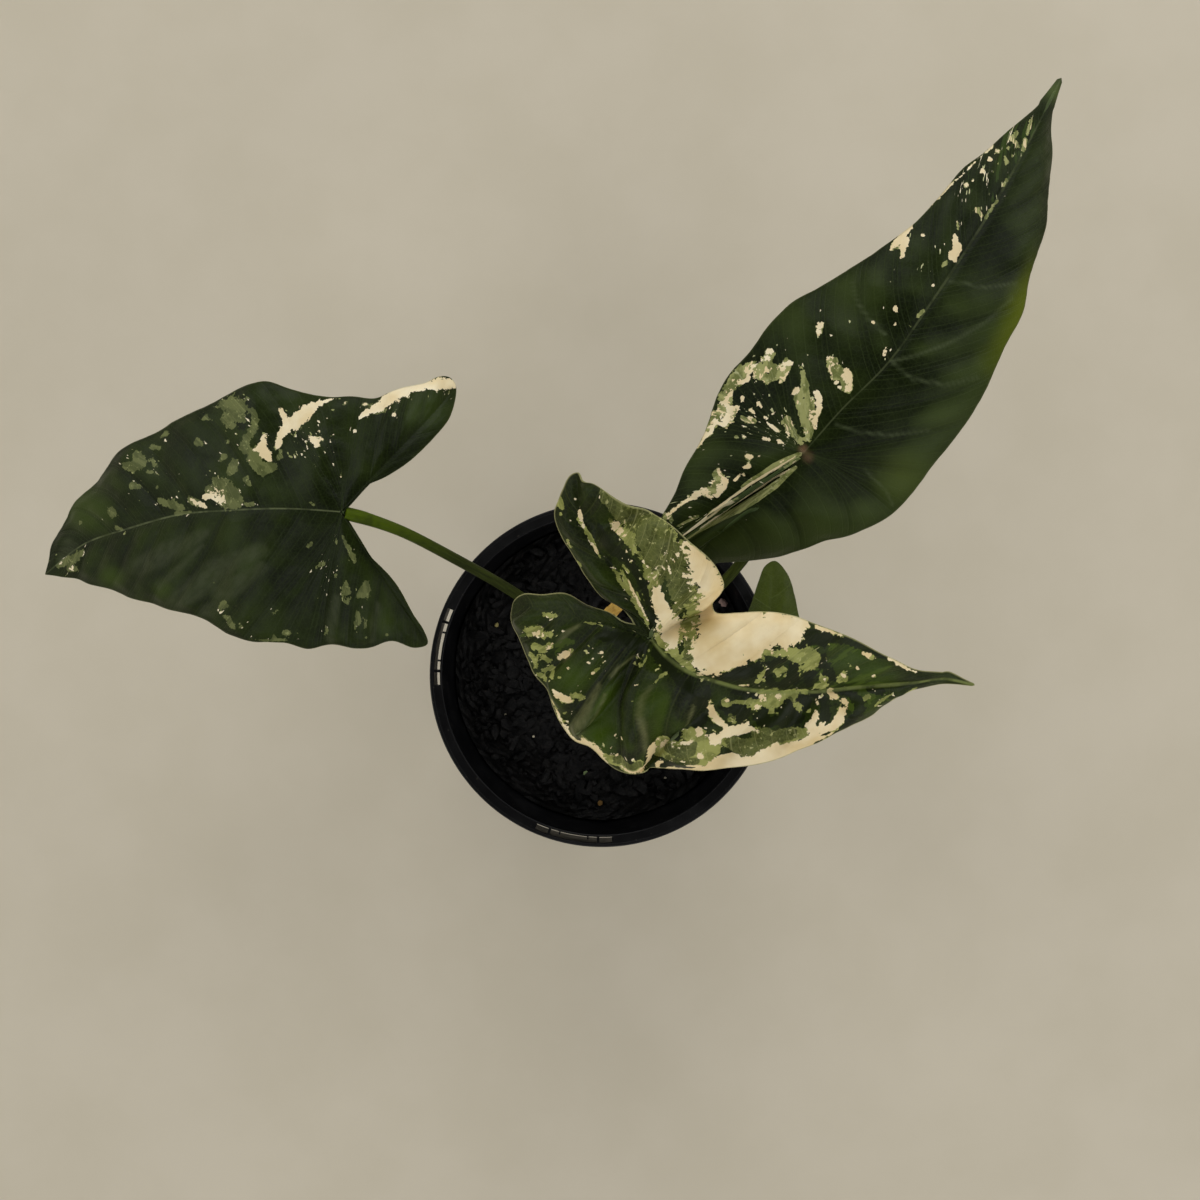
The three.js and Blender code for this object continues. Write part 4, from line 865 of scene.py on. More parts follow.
creamLeaf = {
    "tipRadius": 0.4, "tipSpread": 0.17,
    "midrib": [(82, 4, 191), (74.5, 5.5, 194), (67.5, 5, 198), (54, 4.5, 204), (45, 4, 209), (36.5, 4, 213),
               (28, 5, 217), (22.5, 6.5, 219), (17, 8.5, 221), (12.5, 11.5, 222), (9.5, 15, 222)],
    "halves": [
        {"rib": [(8.5, 19, 222.5), (3.5, 27.5, 221), (-1, 33, 221), (-4.5, 40, 222)],
         "margin": [(77, 6.5, 193, 0.2), (67, 8, 199, 0.5), (60.5, 10.5, 205, 1.5), (52, 14.5, 211, 1),
                    (44, 17.5, 216, 2), (38, 19.5, 220, 3), (32, 20.5, 222, 3), (26, 20.5, 222, 1.5),
                    (22, 20.5, 219.5, -1), (21.5, 22, 220, -2), (23, 25, 227, 1), (22.5, 26.5, 230, 2),
                    (20, 30, 233, 1.5), (15, 34.5, 234, 1.5), (11, 38, 232, 2.5), (8, 39.5, 230, -1.5),
                    (5, 40.5, 229, -2), (1, 43, 229, 1), (-2, 45, 227, 1), (-4, 45.5, 225.5, 0),
                    (-5, 47.5, 223, 0), (-6.5, 47, 222, 0), (-8.5, 43, 220, 0.5), (-9.5, 40, 218, 0.5),
                    (-9, 37.5, 217, 0.5), (-7, 33, 216, 0.5), (-4, 28, 216, 0.5), (0, 23.5, 217, 0.5),
                    (3, 21.5, 219, 0.3), (5.3, 19.7, 221, 0), (6.2, 18.1, 222, 0)],
         "shoulder": 9, "lobe": 20,
         "veins": [(0.15, 0.06), (0.28, 0.16), (0.4, 0.27), (0.51, 0.4), (0.61, 0.52), (0.71, 0.63),
                   (0.8, 0.73), (0.9, 0.84, 0.4), (1, 0.98, 0.25), (1, 1.16, 0.25), (1, 1.34, 0.3),
                   (1.25, 1.52), (1.5, 1.68), (1.75, 1.84), (2.2, 2.1), (2.5, 2.38), (2.75, 2.65)]},
        {"rib": [(-1, 19, 220), (-9, 20.5, 216), (-15, 21.5, 212)],
         "margin": [(74.5, 4.5, 193, 0), (68, 3.5, 196, 0.3), (63.5, 2, 198, 0.5), (57, -1.5, 201, 1),
                    (50.5, -4, 204, 1.5), (45.5, -6.5, 206, 1), (38.5, -9.5, 207, 2), (33.5, -11, 207, 0.5),
                    (28, -11.5, 207, 2), (21.5, -12.5, 206, 0), (15, -12.5, 206, 2.5), (9.5, -12, 208, -0.5),
                    (7, -13.5, 205, -0.5), (3, -12.5, 205, 1.5), (0, -10, 207, 2.5), (-2.5, -7.5, 209, 0),
                    (-6, -6.5, 206, -0.5), (-8, -4.5, 206, 1), (-10.5, 0.5, 208, 2.5), (-11.5, 4.5, 209, 1),
                    (-13.5, 7, 209, 0), (-16, 11.5, 208, 1), (-18, 15.5, 207, 1), (-19, 19.5, 206, 0.5),
                    (-18.5, 22.5, 207, 0), (-16.5, 24, 209, 0.3), (-12.5, 24, 212, 0.5), (-7.5, 24, 215, 0.5),
                    (-3, 22, 218, 0.5), (1, 20.5, 220, 0.3), (3.7, 18.7, 221.3, 0), (6.2, 18.1, 222, 0)],
         "shoulder": 17, "lobe": 24, "sweep": 1.7,
         "veins": [(0.15, 0.07), (0.28, 0.17), (0.42, 0.3), (0.55, 0.43), (0.7, 0.57), (0.87, 0.72, 1.1),
                   (1, 0.82, 1.3), (1.08, 0.99, 1.3), (1.3, 1.42, 0.9), (1.58, 1.7), (1.8, 1.87), (2.2, 2.12),
                   (2.5, 2.4), (2.75, 2.65)]},
    ],
    "grid": {"front": 170, "lobe": 96, "rows": 52},
    "relief": {"puff": 0.45, "backPuff": 1.5, "lean": 2.2, "wave": 0.3, "wrinkle": 0.18,
               "groove": 0.3, "keel": 0.8, "thickness": 0.45},
    # paint
    "pale": [
        [(684, 541, 2), (693, 551, 5), (700, 562, 9), (706, 573, 13), (712, 584, 15), (711, 594, 14),
         (708, 604, 12), (711, 615, 13)],
        [(661, 584, 3), (660, 592, 5), (662, 602, 7), (665, 613, 9), (669, 625, 12), (671, 636, 10),
         (670, 647, 5)], [(714, 622, 17), (712, 640, 16), (712, 658, 18), (700, 658, 10)],
        [(730, 622, 22), (728, 642, 22), (730, 655, 17)], [(752, 622, 20), (748, 642, 17)],
        [(772, 625, 18), (768, 638, 13)], [(788, 628, 13), (785, 637, 11), (798, 630, 8)],
        [(800, 620, 8), (808, 625, 3)], [(818, 627, 2), (830, 632, 1.5), (842, 636, 1.2)],
        [(553, 700, 1), (558, 715, 1.2), (564, 729, 1.8), (572, 740, 2.5), (580, 744, 2.5), (588, 745, 6),
         (596, 748, 6), (600, 755, 4.5), (606, 761, 3)],
        [(606, 755, 3.5), (618, 758, 5), (630, 765, 6), (640, 767, 5), (646, 761, 3.5), (649, 753, 3.5),
         (652, 746, 4), (657, 742, 4)], [(660, 741, 5), (668, 741, 5)],
        [(660, 765, 4), (672, 768, 1.5), (690, 768, 1.5), (705, 767, 2), (720, 763, 4)],
        [(690, 735, 6), (700, 745, 11), (712, 742, 9), (705, 757, 10), (690, 760, 6)],
        [(670, 750, 9), (685, 750, 9)],
        [(660, 770, 3), (690, 771, 3), (705, 770, 4), (720, 766, 5), (735, 765, 6), (750, 763, 6),
         (765, 759, 6), (780, 755, 6), (795, 750, 6), (808, 744, 5)],
        [(720, 759, 5), (735, 758, 6), (750, 757, 6), (765, 752, 5), (780, 748, 5), (795, 744, 5)],
        [(808, 738, 6), (818, 735, 6), (828, 730, 5)],
        [(716, 740, 4), (722, 735, 3.5), (732, 731, 4), (742, 728, 5), (751, 728, 3.5), (760, 732, 2.5)],
        [(708, 695, 1.5), (711, 706, 2.5), (714, 715, 3), (719, 721, 3.5), (726, 728, 3.5)],
        [(746, 722, 2.5), (741, 726, 3)],
        [(817, 700, 2.2), (817, 710, 2.2), (814, 719, 3.5), (808, 727, 3.5), (818, 729, 6), (828, 727, 5.5),
         (836, 722, 5), (841, 714, 4.5), (844, 706, 3.5), (845, 700, 2.8)], [(834, 696, 4), (830, 691, 3)],
        [(864, 653, 2), (870, 656, 2.6), (875, 656, 1.8)],
        [(884, 656, 1), (892, 660, 1.6), (900, 665, 1.8), (908, 669, 1.6), (916, 672, 1)],
    ],
    "light": [
        [(603, 492, 3), (612, 502, 6), (622, 510, 7), (634, 513, 8), (645, 517, 9), (655, 525, 12),
         (664, 537, 14), (672, 547, 13), (678, 557, 12)],
        [(612, 515, 1.5), (617, 527, 3), (625, 536, 3.5), (633, 541, 4), (637, 549, 3)],
        [(630, 520, 8), (634, 532, 8), (648, 530, 10), (652, 545, 12), (658, 560, 14), (672, 562, 14)],
        [(645, 552, 3), (649, 562, 4), (653, 575, 7), (660, 578, 7)], [(652, 586, 4), (654, 597, 2.5)],
        [(681, 573, 13), (683, 587, 12), (680, 599, 7), (676, 607, 4), (673, 615, 1.8)],
        [(690, 603, 6), (693, 612, 5.5), (689, 620, 7), (688, 630, 8), (691, 638, 6), (689, 646, 5)],
        [(682, 641, 3)], [(687, 655, 6), (689, 663, 4.5)], [(677, 648, 2.5), (678, 655, 2.5)],
        [(674, 618, 2), (679, 608, 1.8), (688, 599, 1.8), (696, 594, 2.2), (702, 592, 2)],
        [(656, 635, 2.5), (667, 648, 3), (681, 661, 3.2), (692, 670, 2.5)], [(659, 621, 1.5), (660, 631, 2)],
        [(623, 571, 2.5), (624, 580, 3), (630, 592, 2.4), (637, 605, 2), (644, 617, 1.6), (650, 628, 1.2)],
        [(613, 568, 1.2), (618, 576, 1.8), (624, 586, 1.2)],
        [(579, 518, 1.5), (584, 527, 1.5), (589, 535, 1.8), (595, 547, 1.4), (600, 557, 1)],
        [(625, 564, 2.5), (630, 570, 2.5)], [(559, 502, 3.5), (563, 507, 2)], [(563, 513, 1.5)],
        [(636, 592, 1), (640, 600, 1)], [(644, 592, 1.2), (646, 600, 1)], [(568, 540, 1.2), (571, 547, 1.2)],
        [(576, 563, 1.3), (580, 566, 1)], [(690, 733, 6), (700, 733, 6)], [(660, 742, 5), (668, 742, 5)],
        [(657, 752, 4), (667, 752, 7), (678, 750, 8), (688, 752, 9)],
        [(700, 742, 8), (712, 748, 8), (704, 757, 6), (690, 758, 4)],
        [(606, 755, 2.5), (612, 758, 5), (622, 760, 6), (632, 762, 6), (638, 757, 4)],
        [(726, 742, 5), (735, 743, 8), (745, 747, 8), (751, 751, 4)],
        [(756, 744, 7), (765, 741, 7), (775, 738, 8), (786, 735, 8), (796, 734, 7), (804, 732, 4)],
        [(757, 732, 5), (765, 730, 5)], [(730, 714, 3), (733, 720, 4)], [(726, 702, 4.5)],
        [(734, 704, 3), (745, 703, 3), (755, 703, 5.5), (765, 700, 9), (776, 699, 9), (786, 697, 7),
         (796, 694, 5), (806, 692, 3)], [(770, 708, 6), (776, 713, 3)],
        [(792, 700, 4), (798, 707, 3), (808, 710, 3)],
        [(764, 652, 1.8), (775, 653, 2.5), (786, 651, 4), (796, 655, 8), (808, 656, 9), (817, 660, 6),
         (812, 666, 4), (803, 666, 4)], [(797, 667, 2.5), (797, 680, 2)],
        [(757, 681, 3), (760, 672, 3), (763, 665, 2)], [(765, 680, 2)],
        [(777, 672, 3), (783, 668, 2), (786, 675, 3)], [(822, 677, 4), (824, 684, 4), (816, 686, 3.5)],
        [(740, 685, 1.2), (746, 684, 1.2)], [(838, 679, 3), (843, 673, 3), (845, 678, 2.4)],
        [(850, 665, 1.2)], [(873, 675, 2.2)], [(826, 643, 1.2)], [(871, 657, 3)],
        [(862, 700, 2), (868, 697, 2.5)], [(875, 706, 1.2), (884, 699, 1.5), (892, 694, 1.2)],
        [(892, 702, 1.2), (904, 694, 1.4), (916, 688, 1)], [(533, 654, 3), (538, 658, 4.5), (536, 667, 2.5)],
        [(530, 632, 5), (538, 630, 4), (545, 633, 3.5), (553, 632, 3)],
        [(543, 613, 2), (550, 616, 3), (558, 616, 1.5)], [(538, 644, 2.5), (545, 648, 2.5), (552, 644, 3)],
        [(545, 656, 3), (550, 660, 2.5)], [(545, 670, 2.5), (553, 668, 2.5), (558, 674, 3)],
        [(539, 674, 2.5), (548, 678, 3)], [(572, 650, 2.5)], [(575, 693, 4), (581, 697, 3.5)],
        [(564, 713, 2)], [(594, 671, 2.4), (598, 668, 1.6)], [(590, 676, 1.4)],
        [(584, 622, 0.7), (595, 624, 0.9), (605, 626, 0.8), (616, 628, 0.6)],
        [(632, 664, 0.8), (638, 661, 1.1), (645, 659, 2), (648, 655, 1.4), (651, 649, 0.8)],
        [(657, 683, 0.8), (661, 678, 1.6), (667, 671, 2.4), (672, 666, 1.8)],
        [(661, 664, 1.3), (665, 661, 1.1)], [(636, 657, 0.8), (644, 653, 0.8), (650, 647, 0.8)],
        [(639, 700, 1)], [(567, 676, 1.2)], [(552, 700, 2), (556, 708, 1.5)],
    ],
    "sage": [
        [(634, 517, 10), (648, 522, 12), (660, 535, 14), (672, 548, 13), (680, 565, 12), (684, 580, 11),
         (681, 595, 9), (676, 608, 5)], [(648, 530, 12), (650, 548, 9), (668, 575, 6), (672, 590, 7)],
        [(655, 590, 4), (652, 600, 3)], [(603, 492, 6), (612, 503, 9), (622, 512, 9), (634, 522, 8)],
        [(689, 643, 4), (688, 656, 4)], [(670, 748, 5), (680, 750, 6), (690, 748, 6), (694, 742, 4)],
        [(668, 757, 3), (682, 759, 3), (695, 758, 4)], [(617, 758, 5), (628, 760, 5), (636, 758, 4)],
        [(732, 742, 8), (740, 748, 7), (750, 749, 6), (758, 744, 7), (768, 739, 7), (778, 736, 8),
         (792, 733, 6), (766, 729, 5), (745, 741, 5)], [(733, 716, 5)], [(790, 700, 3)],
    ],
    "dark": [
        [(600, 525, 3), (604, 535, 5), (612, 548, 6), (622, 553, 5), (630, 556, 4), (637, 566, 4),
         (642, 580, 4), (647, 592, 4), (651, 605, 4), (653, 618, 3), (651, 628, 2)],
        [(608, 560, 3), (612, 568, 2)],
        [(716, 681, 3), (726, 676, 5), (736, 673, 6), (746, 671, 7), (755, 667, 6), (762, 661, 3)],
        [(770, 664, 5), (776, 660, 4), (783, 659, 2.5)], [(767, 673, 4), (771, 682, 5), (778, 684, 4)],
        [(784, 683, 5), (790, 672, 5), (793, 665, 4), (794, 680, 5)],
        [(799, 646, 4), (806, 641, 5), (806, 633, 3.5), (815, 632, 3.5), (812, 639, 6), (822, 641, 5)],
        [(820, 636, 5), (832, 637, 4.5), (845, 641, 4), (858, 645, 4), (870, 650, 3.5), (884, 657, 3)],
        [(822, 655, 4), (824, 664, 6), (828, 671, 6), (833, 677, 4)],
        [(806, 675, 5), (812, 673, 4), (808, 682, 4)], [(735, 692, 4), (750, 694, 4), (758, 696, 2)],
        [(722, 708, 3), (727, 711, 4), (738, 709, 6), (745, 711, 6), (740, 717, 5)],
        [(757, 715, 6), (763, 712, 6), (763, 722, 6), (771, 723, 5), (777, 719, 4)],
        [(784, 712, 7), (788, 704, 5), (784, 721, 7), (794, 717, 8), (801, 717, 4)],
        [(802, 699, 5), (808, 701, 4), (805, 707, 4)],
        [(811, 693, 3), (819, 694, 4), (824, 701, 5), (825, 711, 6), (826, 718, 5)],
        [(834, 704, 1.8), (838, 704, 1.4)], [(843, 706, 1.8)],
        [(843, 692, 3), (850, 694, 5), (857, 700, 6), (859, 709, 6), (853, 717, 4.5), (846, 724, 2.5)],
        [(870, 690, 3), (880, 690, 5)], [(646, 748, 1.5), (645, 755, 2), (644, 759, 1.2)],
        [(662, 767, 3), (670, 764, 3.5), (679, 765, 3), (692, 767, 1.5)],
        [(820, 735, 1), (832, 731, 1.2), (844, 725, 1.2)], [(678, 737, 3), (682, 732, 3), (673, 737, 2)],
        [(700, 720, 6), (706, 718, 3)],
        [(655, 650, 3), (665, 662, 4), (676, 676, 5), (690, 690, 7), (702, 700, 7), (708, 688, 4)],
        [(604, 634, 4), (618, 638, 6), (632, 641, 7), (645, 648, 4)], [(818, 708, 1), (823, 717, 3.5)],
    ],
    "cream": [
        [(618, 523, 3.5), (619, 530, 4), (622, 533, 3.5)], [(628, 550, 1.2)], [(633, 559, 1.6)],
        [(664, 568, 1.5), (669, 565, 1.6)], [(668, 560, 1.3)], [(673, 569, 1.2)], [(649, 565, 1.8)],
        [(652, 572, 1.6)], [(656, 579, 1.8)], [(650, 580, 1.4)], [(663, 575, 1.4)], [(657, 587, 1.5)],
        [(676, 556, 1.4)], [(683, 545, 1.5)], [(680, 552, 1.4)], [(666, 552, 1.2)], [(648, 559, 1.4)],
        [(655, 568, 1.3)], [(579, 511, 1.3), (580, 519, 2), (583, 527, 1.2)], [(575, 499, 1)],
        [(592, 543, 1), (597, 552, 1)], [(628, 580, 0.9), (634, 594, 0.9), (641, 608, 0.9), (648, 621, 0.9)],
        [(668, 625, 2)], [(568, 543, 1)], [(576, 564, 1)], [(560, 657, 2.4), (565, 655, 3), (571, 651, 1.8)],
        [(560, 688, 1.8), (563, 692, 3.4), (568, 696, 3.4), (571, 699, 1.8)],
        [(534, 634, 2), (540, 633, 1.5)], [(552, 645, 2), (555, 641, 1.3)], [(541, 627, 1.2)],
        [(545, 635, 1.1)], [(548, 616, 1)], [(600, 652, 1.2), (604, 650, 1)], [(603, 655, 0.9)],
        [(603, 662, 1.2), (606, 660, 0.9)], [(594, 645, 0.9)], [(597, 647, 0.8)], [(591, 651, 0.8)],
        [(591, 660, 1.1)], [(575, 667, 1.3)], [(593, 672, 1.2)], [(616, 734, 1.6), (616, 739, 1)],
        [(621, 738, 1.6), (623, 735, 1.2)], [(612, 745, 1)], [(572, 711, 1.3)], [(567, 722, 1)],
        [(567, 728, 1)], [(610, 694, 1)], [(645, 680, 1.4), (641, 682, 1)], [(640, 700, 1), (643, 697, 1)],
        [(712, 705, 2.6)], [(762, 697, 2.6)], [(757, 706, 2)], [(778, 697, 2.2)], [(700, 731, 4)],
        [(714, 742, 4)], [(700, 754, 3)], [(727, 700, 1.2)], [(663, 744, 3), (668, 740, 2.5)],
        [(740, 686, 0.8), (748, 685, 0.8)], [(824, 678, 1.4)], [(873, 675, 1.3)], [(843, 675, 1.4)],
        [(857, 668, 1)],
    ],
    "flecks": [(600, 656, 22, 0.6), (545, 640, 40, 0.4), (655, 572, 24, 0.85), (672, 558, 18, 0.75),
               (625, 545, 16, 0.6), (850, 670, 50, 0.3), (640, 680, 30, 0.2), (665, 745, 16, 0.6)],
    "marble": [(850, 655, 60, 0.4), (868, 700, 30, 0.4), (545, 650, 40, 0.3)],
    # brighter green that is partly painted light, then painted shade, then runs of painted highlight along
    # the lit ridges
    "brightAndLitGreen": [(850, 655, 38, 0.35), (872, 672, 38, 0.35), (868, 700, 30, 0.4), (885, 685, 24, 0.3),
              (608, 688, 20, 0.35), (605, 706, 22, 0.5), (602, 724, 22, 0.5), (604, 742, 18, 0.4),
              (620, 736, 20, 0.3), (668, 698, 20, 0.4), (666, 714, 22, 0.55), (660, 730, 18, 0.5),
              (576, 673, 26, 0.5), (565, 652, 20, 0.2)],
    "shadow": [(625, 640, 34, 0.9), (690, 690, 30, 0.8), (700, 715, 22, 0.8), (640, 668, 18, 0.6),
               (628, 700, 12, 0.4), (592, 640, 18, 0.5), (575, 706, 13, 0.5), (630, 752, 14, 0.5),
               (578, 528, 30, 0.3), (639, 682, 11, 0.45), (635, 694, 11, 0.45), (634, 706, 11, 0.45),
               (635, 718, 11, 0.45), (637, 730, 11, 0.45), (640, 742, 11, 0.4), (680, 700, 10, 0.4),
               (677, 711, 10, 0.4)],
    "paintedHighlight": [[(571, 737, 3.5), (577, 724, 4), (585, 710, 3), (592, 697, 2), (599, 684, 1)],
              [(587, 738, 1.5), (591, 722, 1.4), (597, 706, 1), (605, 690, 0.6)],
              [(646, 754, 1), (644, 740, 1.6), (643, 725, 1.8), (643, 710, 1.6), (648, 696, 1.2),
               (655, 685, 0.7)], [(686, 720, 0.8), (689, 706, 0.8), (694, 692, 0.5)],
              [(611, 674, 0.6), (619, 664, 0.8), (634, 656, 0.6)],
              [(561, 643, 2), (568, 632, 2), (580, 625, 1)],
              [(549, 690, 1.5), (553, 702, 2), (558, 714, 1.5)]],
    "calm": [(680, 750, 34, 0.55), (705, 752, 26, 0.55), (740, 745, 30, 0.4), (785, 737, 30, 0.5),
             (620, 757, 24, 0.6)],
}
smallLeaf = {
    "tipRadius": 0.9, "tipSpread": 0.05,
    "midrib": [(68, -12, 105), (61, -6, 111), (53, 0.5, 115.5), (45, 7, 118)],
    "halves": [
        {"rib": [(47.5, 19, 116)],
         "margin": [(68, -5, 107, 0), (66, 3, 110, 0.5), (61, 11, 112, 1), (56.5, 17, 113, 0.5),
                    (55, 24, 113.5, 0.5), (53, 30, 113, 0.3), (49.5, 34, 112, 0), (46.5, 32.5, 112.5, 0),
                    (44.5, 28, 113.5, 0.2), (41.5, 20, 115, 0.3), (37, 12, 116, 0)],
         "shoulder": 2, "lobe": 6,
         "veins": smallVeins},
        {"rib": [(32, 3.5, 114.5)],
         "margin": [(60, -13.5, 107, 0), (51, -13.5, 109, 0.5), (43, -9.5, 111, 1), (35, -7, 111.5, 0.5),
                    (27, -6, 111, 0.5), (22, -4, 110, 0.2), (19, 0, 109.5, 0), (21, 3.5, 110.5, 0),
                    (27, 6.5, 113, 0.3), (37, 12, 116, 0)],
         "shoulder": 2, "lobe": 6,
         "veins": smallVeins},
    ],
    "grid": {"front": 50, "lobe": 40, "rows": 26},
    "relief": {"puff": 0.35, "backPuff": 0.4, "wave": 0.2, "wrinkle": 0.1,
               "groove": 0.25, "keel": 0.7, "thickness": 0.45},
}

darkLeafSkin = makeLeafMaterial("alocasiaLeafDarkWaxed", darkTones)
longLeafSkin = makeLeafMaterial("alocasiaLeafOliveWaxed", longTones)
creamLeafSkin = makeLeafMaterial("alocasiaLeafCreamWaxed", creamTones)
smallLeafSkin = makeLeafMaterial("alocasiaLeafYoungWaxed", smallTones)
makeBlade("leftBlade", leftLeaf, darkLeafSkin, "dark_blade", "blade_left")
makeBlade("longBlade", longLeaf, longLeafSkin, "dark_blade", "blade_long")
makeBlade("creamBlade", creamLeaf, creamLeafSkin, "cream_blade", "blade_cream")
makeBlade("smallBlade", smallLeaf, smallLeafSkin, "small_blade", "blade_small")
print("blades ready")


# Petioles and the old petiole

def makeStalkMaterial(name, tones):
    # A fleshy petiole under a thin smooth cuticle: satin, with faint streaks along its length
    made, node = startMaterial(name)
    vector = node("Attribute", {"attribute_name": "stalk"}).outputs["Vector"]
    share = node("Attribute", {"attribute_name": "share"}).outputs["Fac"]
    spot = node("TexCoord").outputs["Object"]
    # streaks half a millimetre wide, about the width of a strand
    streak = node("TexNoise", {}, {"Vector": vector, "Scale": 1 / 0.5, "Detail": 3, "Roughness": 0.55})
    blotch = node("TexNoise", {}, {"Vector": spot, "Scale": 1 / (5 * mm), "Detail": 3, "Roughness": 0.55})
    turned = node("MapRange", smooth, [share, *tones["turn"]])
    colour = node("Mix", colours, [turned, tones["low"], tones["high"]])
    streaked = node("MapRange", smooth, [streak, 0.4, 0.7, 0.0, 0.35])
    colour = node("Mix", colours, [streaked, colour, tones["streak"]])
    marked = node("MapRange", smooth, [blotch, 0.5, 0.7, 0.0, tones["blotch"]])
    colour = node("Mix", colours, [marked, colour, tones["mark"]])
    relief = node("Bump", {}, {"Height": streak, "Distance": tones["relief"] * mm, "Strength": 0.7})
    shader = node("BsdfPrincipled", {}, {"Base Color": colour, "Normal": relief, "IOR": 1.45,
                                         "Roughness": tones["roughness"], "Specular IOR Level": 0.1})
    node("OutputMaterial", {}, {"Surface": shader})
    return made


stalkTones = {
    "low": "#232a08", "high": "#4a5d02", "turn": (0.66, 0.97), "streak": "#47531a", "mark": "#28320c",
    "blotch": 0.5, "roughness": 0.5, "relief": 0.12,
}
witheredTones = {
    "low": "#8a6428", "high": "#c8a350", "turn": (0.0, 0.5), "streak": "#e6c67a", "mark": "#8a5c28",
    "blotch": 0.4, "roughness": 0.7, "relief": 0.35,
}
petioleForm = {
    # lengths in mm
    "sides": 28,
    "steps": 10,
    "into": 0.5,                  # run on into the crown and the blade, past the frame's 0.3 mm gaps
    "out": 0.7,
    "nose": 0.3,
    "flare": 0.22,                # sheath base: wider and grooved on its inner side
    "flareReach": 9,
    "channel": 0.3,
    "channelReach": 22,
    "channelTurn": 0.45,
    "inner": (5, 3.5, 80.01),     # the side that faces this point is the inner one
    "knee": 0.1,                  # the swelling just under the blade
    "kneePlace": 3,
    "kneeReach": 3.5,
    "wrinkle": 0,
    "streakPace": 0.06,           # the skin's pattern is drawn out along the stalk by this share
}


def makeStalk(name, stalk, material, slot, node):
    path = smoothPath([(*p, r) for p, r in zip(stalk["path"], stalk["radii"])], stalk["steps"])
    tangents = np.gradient(path[:, :3], axis=0)
    tangents /= np.linalg.norm(tangents, axis=1)[:, None]
    path = np.vstack([path[0] - np.append(tangents[0], 0) * stalk["into"], path,
                      path[-1] + np.append(tangents[-1], 0) * stalk["out"]])
    tangents = np.vstack([tangents[0], tangents, tangents[-1]])
    sides = stalk["sides"]
    turns = np.arange(sides) / sides * math.tau
    length = np.concatenate([[0], np.cumsum(np.linalg.norm(np.diff(path[:, :3], axis=0), axis=1))])
    points, places, shares = [], [], []
    across = np.array(stalk["inner"]) - path[0, :3]
    for centre, tangent, radius, reach in zip(path[:, :3], tangents, path[:, 3], length):
        across = across - tangent * np.dot(across, tangent)
        across /= np.linalg.norm(across)
        third = np.cross(tangent, across)
        flare = 1 + stalk["flare"] * math.exp(-reach / stalk["flareReach"])
        channel = stalk["channel"] * math.exp(-(reach / stalk["channelReach"]) ** 2)
        beyond = (length[-1] - reach - stalk["kneePlace"]) / stalk["kneeReach"]
        knee = 1 + stalk["knee"] * math.exp(-beyond ** 2)
        for turn in turns:
            aside = math.remainder(turn, math.tau)
            dent = 1 - channel * math.exp(-(aside / stalk["channelTurn"]) ** 2)
            rough = stalk["wrinkle"] * math.sin(turn * 7 + reach * 0.4) * math.sin(reach * 0.31 + turn * 2)
            wide = radius * flare * knee * dent * (1 + rough)
            points.append(centre + (across * math.cos(turn) + third * math.sin(turn)) * wide)
            places.append((math.cos(turn) * radius, math.sin(turn) * radius, reach * stalk["streakPace"]))
            shares.append(reach / length[-1])
    # a flat foot inside the crown, and a low nose in the blade
    faces = ringFaces(len(path), sides)
    faces.append(tuple(range(sides))[::-1])
    last = (len(path) - 1) * sides
    faces += [(last + j, last + (j + 1) % sides, last + sides) for j in range(sides)]
    points.append(path[-1, :3] + tangents[-1] * stalk["nose"])
    places.append((0, 0, length[-1] * stalk["streakPace"]))
    shares.append(1)
    mesh = startMesh(name, points, faces)
    streaks = mesh.attributes.new("stalk", "FLOAT_VECTOR", "POINT")
    streaks.data.foreach_set("vector", np.array(places, np.float32).ravel())
    mesh.attributes.new("share", "FLOAT", "POINT").data.foreach_set("value", np.array(shares, np.float32))
    shadeSmooth(mesh, 50)
    placePiece(name, mesh, material, slot, node)


# the left petiole runs on a little further under its blade, so that no light shows between them
petioles = {
    "leftPetiole": ("petiole_left", {
        "path": [(-0.5, 5, 80), (-4, 8, 92), (-10, 12.5, 104), (-23, 24, 125), (-39, 34, 146),
                 (-50, 39.9, 157), (-57.5, 42.6, 163), (-61, 43.5, 165)],
        "radii": [2.3, 2.1, 1.8, 1.5, 1.4, 1.4, 1.5, 1.5], "out": 1.4}),
    "longPetiole": ("petiole_long", {
        "path": [(10, 4, 80), (12.5, 6.5, 92), (18, 12, 106), (26.5, 20.8, 123), (34, 30, 142), (39, 40, 168),
                 (41.2, 48.5, 192), (41, 52.8, 209.6)],
        "radii": [2.4, 2.2, 1.8, 1.55, 1.4, 1.35, 1.35, 1.5]}),
    "creamPetiole": ("petiole_cream", {
        "path": [(5, 2.5, 80), (4.6, 2, 98), (4, 2.2, 125), (4, 4, 160), (6, 9, 195), (8.6, 13.6, 213),
                 (9.4, 14.9, 219.5)],
        "radii": [2.4, 2.1, 1.8, 1.6, 1.4, 1.35, 1.5]}),
    "smallPetiole": ("petiole_small", {
        "path": [(8.2, -2.6, 79.5), (11, -2, 88), (18, 0, 97), (30, 3.5, 106.5), (38, 5.4, 111.2),
                 (43.5, 6.8, 114.2)],
        "radii": [2, 1.8, 1.4, 1.2, 1.1, 1.2]}),
}
oldPetiole = {
    **petioleForm, "out": 0, "nose": 0.5, "flare": 0.15, "channel": 0.4, "knee": 0, "wrinkle": 0.13,
    "path": [(2.4, 9.4, 80), (0, 12.5, 94), (-0.5, 16, 108), (3, 20, 121), (8, 24.5, 128), (12, 28.5, 131)],
    "radii": [1.9, 1.8, 1.8, 1.7, 1.4, 0.9],
}
stalkSkin = makeStalkMaterial("alocasiaPetioleSmoothCuticle", stalkTones)
witheredSkin = makeStalkMaterial("petioleWitheredDry", witheredTones)
